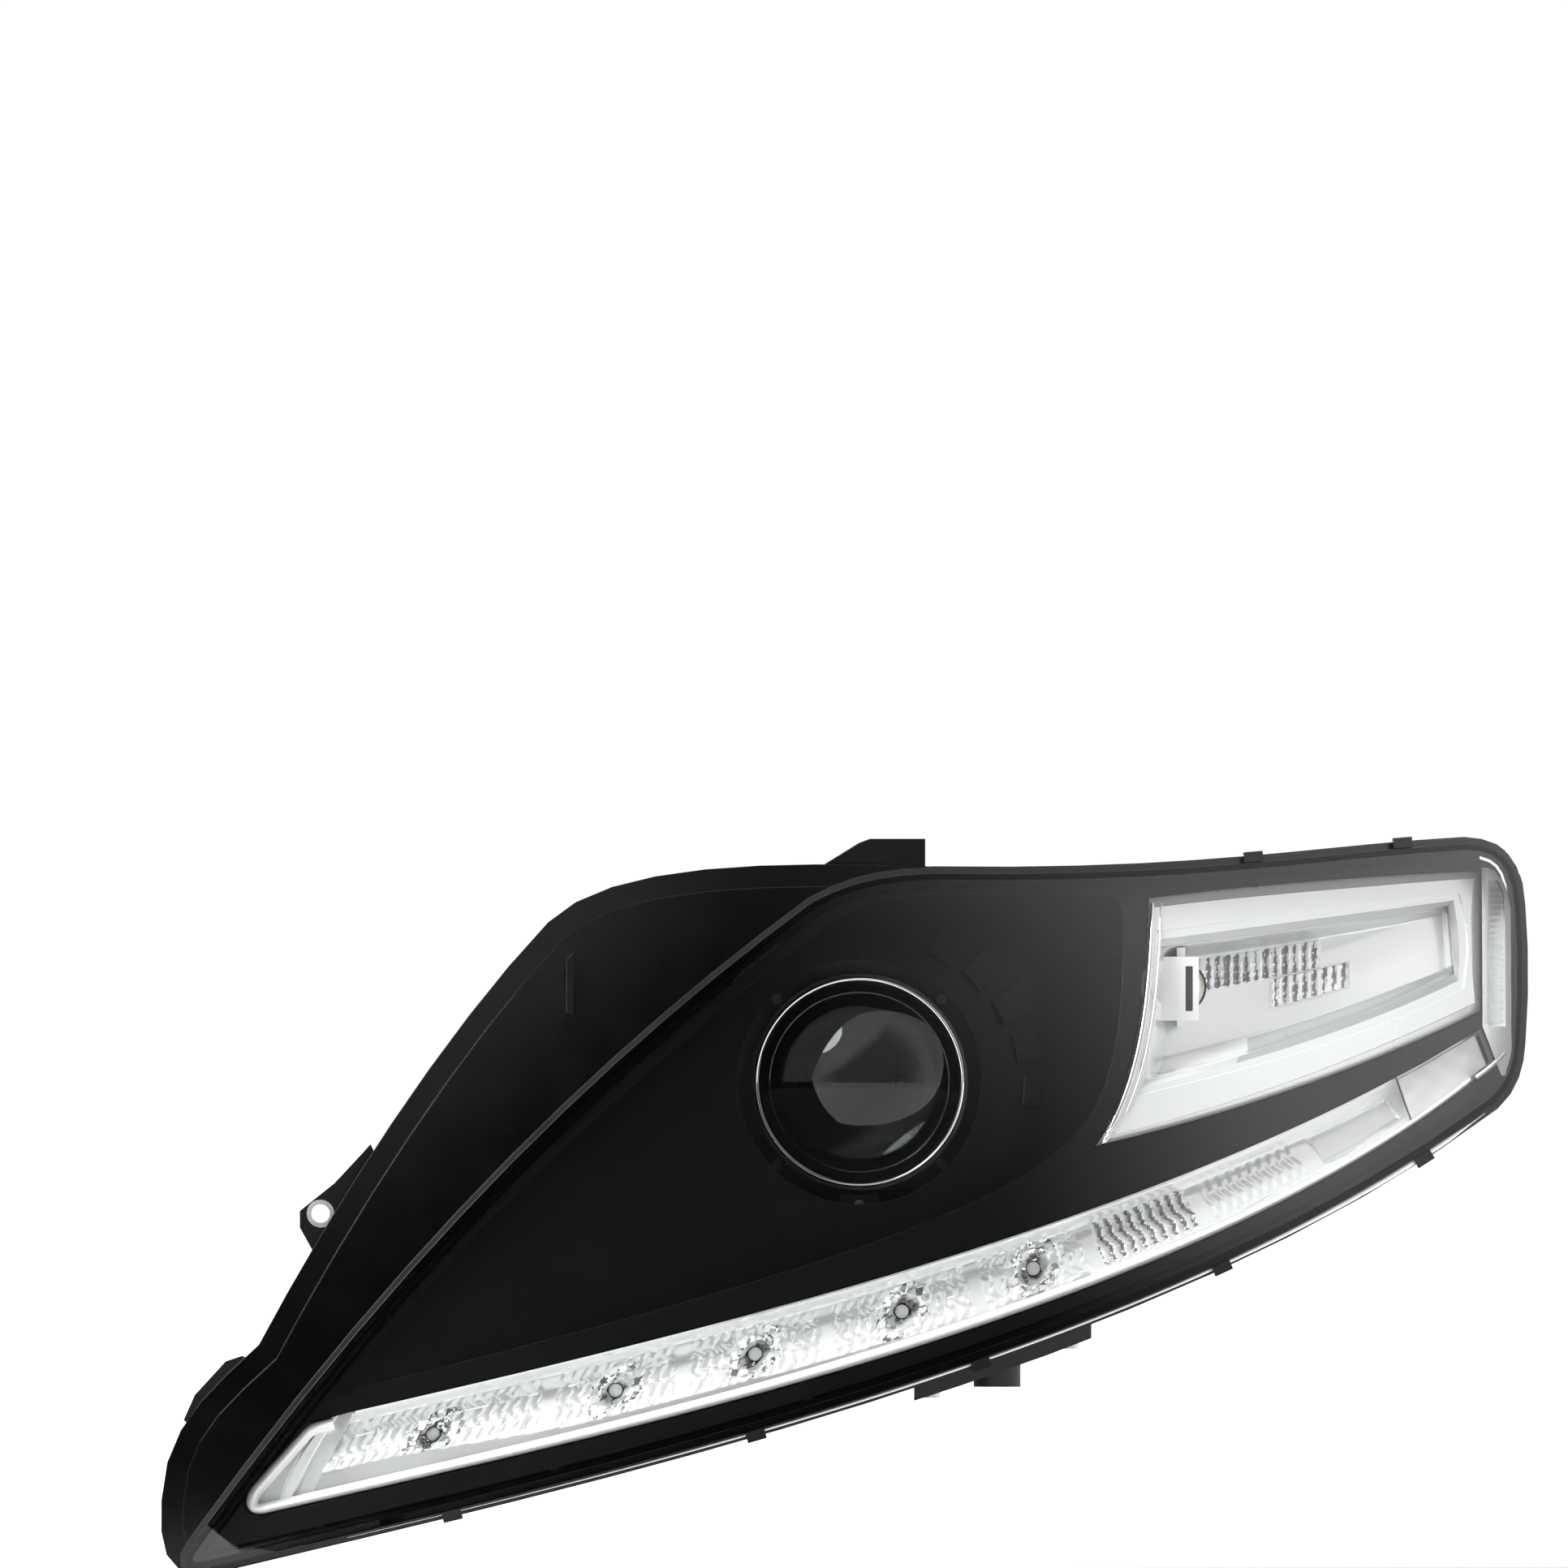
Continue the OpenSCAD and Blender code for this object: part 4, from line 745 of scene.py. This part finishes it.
def turn_rail():
    """The chrome double line down the frame's inboard edge, and the beads at its tip."""
    for name, inset, radius, end in (("turn_rail", 1.5, 1.15, 0.10), ("turn_rail_inner", 4.6, 0.6, 0.2)):
        path, radii = [], []
        for k in range(61):
            t = end + (0.985 - end) * k / 60
            p = on(TURN_LEFT, t)
            path.append((p.x + inset, form_y(p.x + inset, p.y, FACE_DEPTH - 0.1), p.y))
            radii.append(radius * (0.55 + 0.45 * ramp(min(k, 60 - k), 0, 5)))
        rod(name, path, radii, "lamp", "chrome", "chrome")
    tip = [(0.03, 2.2), (0.05, 2.1), (0.07, 1.9), (0.09, 1.7)]
    for k, (t, inset) in enumerate(tip):
        p = on(TURN_LEFT, t)
        bead = 1.15 if k % 2 else 0.85
        path = [(p.x + inset + dx, form_y(p.x + inset, p.y, FACE_DEPTH - 0.2), p.y + dx * 0.8)
                for dx in (-1.4, -1.0, 0.0, 1.0, 1.4)]
        rod(f"turn_bead_{k + 1}", path, [0.3, 0.8 * bead, bead, 0.8 * bead, 0.3], "lamp", "chrome", "chrome",
            sides=12)


TURN_FLUTE = 3.5           # pitch of the upright flutes
FLUTES_FROM = 122          # X where they start, beside the bulb


def turn_optic():
    """The fluted reflector inside the indicator: two rows of upright flutes and a plain sloping wing."""
    columns, rows = 280, 120
    hole = 9.3

    def where(u, v):
        return on(WINDOW_LOW, u).lerp(on(WINDOW_TOP, u), v)

    def front(i, j):
        u, v = i / columns, j / rows
        p = where(u, v)
        deep = 18.6 + 16.5 * (1 - ramp(p.x, 128, 222))
        walls = ramp(v, 0.0, 0.16) * ramp(1 - v, 0.0, 0.13) * ramp(u, 0.0, 0.05) * ramp(1 - u, 0.0, 0.03)
        depth = 17.6 + (deep - 17.6) * walls
        upper = ramp(v, 0.60, 0.62) * (1 - ramp(v, 0.86, 0.88)) * (1 - ramp(p.x, 165, 167))
        lower = ramp(v, 0.33, 0.35) * (1 - ramp(v, 0.585, 0.60))
        lower *= (1 - ramp(p.x, 176, 178)) * ramp(p.x, 148, 150)
        number = math.floor((p.x - FLUTES_FROM) / TURN_FLUTE)
        flute = zigzag(p.x - FLUTES_FROM, TURN_FLUTE) * (0.55 + 0.45 * chance(number, "flute"))
        started = ramp(p.x, FLUTES_FROM - 1, FLUTES_FROM)
        depth -= started * (upper * (0.6 + 1.5 * flute) + lower * (0.3 + 1.4 * flute))
        if 0.01 < (p - BULB_AT).length < hole + 0.25:
            p = BULB_AT + (p - BULB_AT).normalized() * hole
        return p.x, p.y, depth

    def middle(i, j):
        return where((i + 0.5) / columns, (j + 0.5) / rows)

    def keep(i, j):
        return (middle(i, j) - BULB_AT).length > hole - 0.05

    def fluted(i, j):
        x, v = middle(i, j).x, (j + 0.5) / rows
        return x > FLUTES_FROM and ((0.61 < v < 0.87 and x < 166) or (0.34 < v < 0.59 and 149 < x < 177))

    # the grooves between the flutes are painted dark metal: painted shade
    def in_groove(i, j):
        place_in_row = (middle(i, j).x - FLUTES_FROM) / TURN_FLUTE
        groove = 0.12 + 0.3 * chance(math.floor(place_in_row), j // 12, "groove")
        return fluted(i, j) and place_in_row % 1 < groove

    def shaded(i, j):
        x, v = middle(i, j).x, (j + 0.5) / rows
        return v > 0.89 or (v < 0.13 and x > 140)

    sheet("turn_optic", columns, rows, front, lambda d: d + SHEET_WALL, "lamp", "metallised", "metallised",
          keep=keep, crease=20,
          tones=[("mirror", fluted), ("deep_shade_silver", in_groove), ("shade_grey_silver", shaded)])


def shield_insert():
    """A black plate behind the slot of the bulb shield: painted shade where the inside of the slot lies in
    shadow.
    """
    low, high = (116.3, 119.5, 23.6), (121.2, 120.3, 43.6)
    points = [(x, y, z) for x in (low[0], high[0]) for y in (low[1], high[1]) for z in (low[2], high[2])]
    faces = [(0, 1, 3, 2), (4, 6, 7, 5), (0, 4, 5, 1), (2, 3, 7, 6), (0, 2, 6, 4), (1, 5, 7, 3)]
    piece("shield_insert", points, faces, "lamp", "dark_plastic", "dark_plastic")


# ---------- side reflector ----------

def side_face():
    """The side reflector: a bright rim on the bezel's face and a ribbed field sunk in its opening."""
    columns, rows = 40, 190
    low_end, high_end = 1.8, 76.8

    def edges(z):
        """X of the inner and outer edge at height z; the upper outer corner is round."""
        inner = 225.3 + 0.385 * max(19.5 - z, 0.0)
        if z > 60:
            return inner, 226 + 9.8 * math.sqrt(max(1 - ((z - 60) / 17) ** 2, 0.0))
        return inner, 235.8 - 3.0 * (1 - ramp(z, -3, 12))

    def front(i, j):
        z = low_end + (high_end - low_end) * j / rows
        inner, outer = edges(z)
        x = inner + (outer - inner) * i / columns
        inside = min(x - 227.6, 233.6 - x, outer - x - 1.4)
        sunk = ramp(inside, 0.0, 0.5) * ramp(z, 19.5, 20.5) * ramp(72.5 - z, 0.0, 1.0)
        return x, z, 9.9 + sunk * (3.9 + 0.45 * ridges(z, 2.2))

    def shaded(i, j):
        return i / columns < 0.2 and 20 < low_end + (high_end - low_end) * j / rows

    sheet("side_face", columns, rows, front, lambda d: d + 1.0, "lamp", "bright_lip", "bright_lip",
          stands_for=["side_reflector"], crease=40, tones=[("satin_silver", shaded)])


# ---------- projector ----------

GLASS_R = 36.2             # radius of its rim
GLASS_TIP = 62.0           # depth Y of its foremost point
GLASS_CURVE = 40.8         # radius of its front
GLASS_BACK = RING_BACK     # depth Y of its flat rear face


def projector_front():
    """The aspheric glass and the rounded chrome ring that holds it."""
    steps = 40
    profile = [(0, GLASS_TIP)]
    for k in range(1, steps + 1):
        r = GLASS_R * k / steps
        profile.append((r, GLASS_TIP + GLASS_CURVE - math.sqrt(GLASS_CURVE ** 2 - r * r)))
    profile += [(GLASS_R, 83.9), (GLASS_R + 0.7, 84.1), (GLASS_R + 0.7, 87.9), (GLASS_R, GLASS_BACK),
                (0, GLASS_BACK)]
    lathe("glass_dome", profile, "projector", "smoked_glass", "clear_glass", stands_for=["projector_glass"])
    inner, outer, crest = 36.3, 38.0, 78.7
    bead = []
    for k in range(13):
        a = math.pi * k / 12
        radius = (inner + outer) / 2 - (outer - inner) / 2 * math.cos(a)
        bead.append((radius, crest + 1.1 - 1.1 * math.sin(a)))
    profile = bead + [(outer, GLASS_BACK), (inner + 0.75, GLASS_BACK), (inner + 0.75, 83.8), (inner, 83.8)]
    lathe("glass_ring", profile, "projector", "chrome", "chrome", sides=220, stands_for=["lens_ring"],
          dark=lambda r, y: r < outer and y > crest + 1.05)


strip_face()
led_domes()
strip_lip()
lip_end()
position_face()
position_lens()
flange_line()
turn_face()
turn_rail()
turn_optic()
shield_insert()
side_face()
projector_front()

# ---------- stage ----------

FLOOR_SIZE = 60            # metres
FLOOR_GAP = 0.0005         # how far the floor lies below the lamp's lowest point, metres
bpy.ops.mesh.primitive_plane_add(size=FLOOR_SIZE, location=(0, 0, cad_box[0].z - FLOOR_GAP))
floor = bpy.context.object
floor.name = "floor"
floor.data.materials.append(shader("floor_white", (0.88, 0.88, 0.875), 0.6))


BACKDROP = 1.02            # the studio's brightness as the camera sees it past the lamp


def studio():
    """A white studio round the lamp with one dark side, the room behind the camera."""
    world = bpy.data.worlds.new("studio")
    scene.world = world
    world.use_nodes = True
    where = add(world, "ShaderNodeTexCoord")

    def along(way, start, end, low, high):
        """Goes smoothly from low to high as a direction's share along `way` goes from start to end."""
        share = add(world, "ShaderNodeVectorMath", operation="DOT_PRODUCT")
        share.inputs[1].default_value = way
        link(world, where, "Generated", share, 0)
        fade = add(world, "ShaderNodeMapRange", interpolation_type="SMOOTHSTEP", From_Min=start,
                   From_Max=end, To_Min=low, To_Max=high)
        link(world, share, "Value", fade, "Value")
        return fade

    front = along(Vector((0.25, -0.95, 0.2)).normalized(), 0.42, 0.86, 1.0, 0.03)
    above = along((-0.75, 0, 1), 0.40, 0.62, 0.0, 1.0)
    shade = add(world, "ShaderNodeMath", operation="MAXIMUM")
    link(world, front, "Result", shade, 0)
    link(world, above, "Result", shade, 1)
    seen = add(world, "ShaderNodeLightPath")
    straight = add(world, "ShaderNodeMix", data_type="FLOAT")
    # inputs 2 and 3 are this node's two numbers
    straight.inputs[3].default_value = BACKDROP
    link(world, seen, "Is Camera Ray", straight, 0)
    link(world, shade, "Value", straight, 2)
    link(world, straight, 0, world.node_tree.nodes["Background"], "Strength")
    world.node_tree.nodes["Background"].inputs["Color"].default_value = (1, 1, 1, 1)


def sun(name, towards, strength, spread):
    """A soft sun that shines from the direction `towards`."""
    data = bpy.data.lights.new(name, "SUN")
    data.energy = strength
    data.angle = math.radians(spread)
    o = bpy.data.objects.new(name, data)
    scene.collection.objects.link(o)
    o.rotation_mode = "QUATERNION"
    o.rotation_quaternion = (-Vector(towards)).to_track_quat("-Z", "Y")


studio()
sun("key", towards=(-0.55, -0.45, 0.7), strength=4.2, spread=36)

FRAME_W = 0.566            # width of the view at the lamp, metres
DISTANCE = 26.0            # from the camera to the lamp, metres
SENSOR = 36                # width of the camera's sensor, mm
VIEW_AT = (-27, 90, 107.8)             # middle of the view, in the lamp's own frame
camera_data = bpy.data.cameras.new("camera")
camera = bpy.data.objects.new("camera", camera_data)
scene.collection.objects.link(camera)
scene.camera = camera
camera_data.sensor_width = SENSOR
camera_data.lens = SENSOR * DISTANCE / FRAME_W
camera_data.clip_start = 0.05
camera_data.clip_end = 100
camera.location = place(*VIEW_AT) - Vector((0, DISTANCE, 0))
camera.rotation_mode = "QUATERNION"
camera.rotation_quaternion = Vector((0, 1, 0)).to_track_quat("-Z", "Y")
scene.view_settings.view_transform = "Standard"
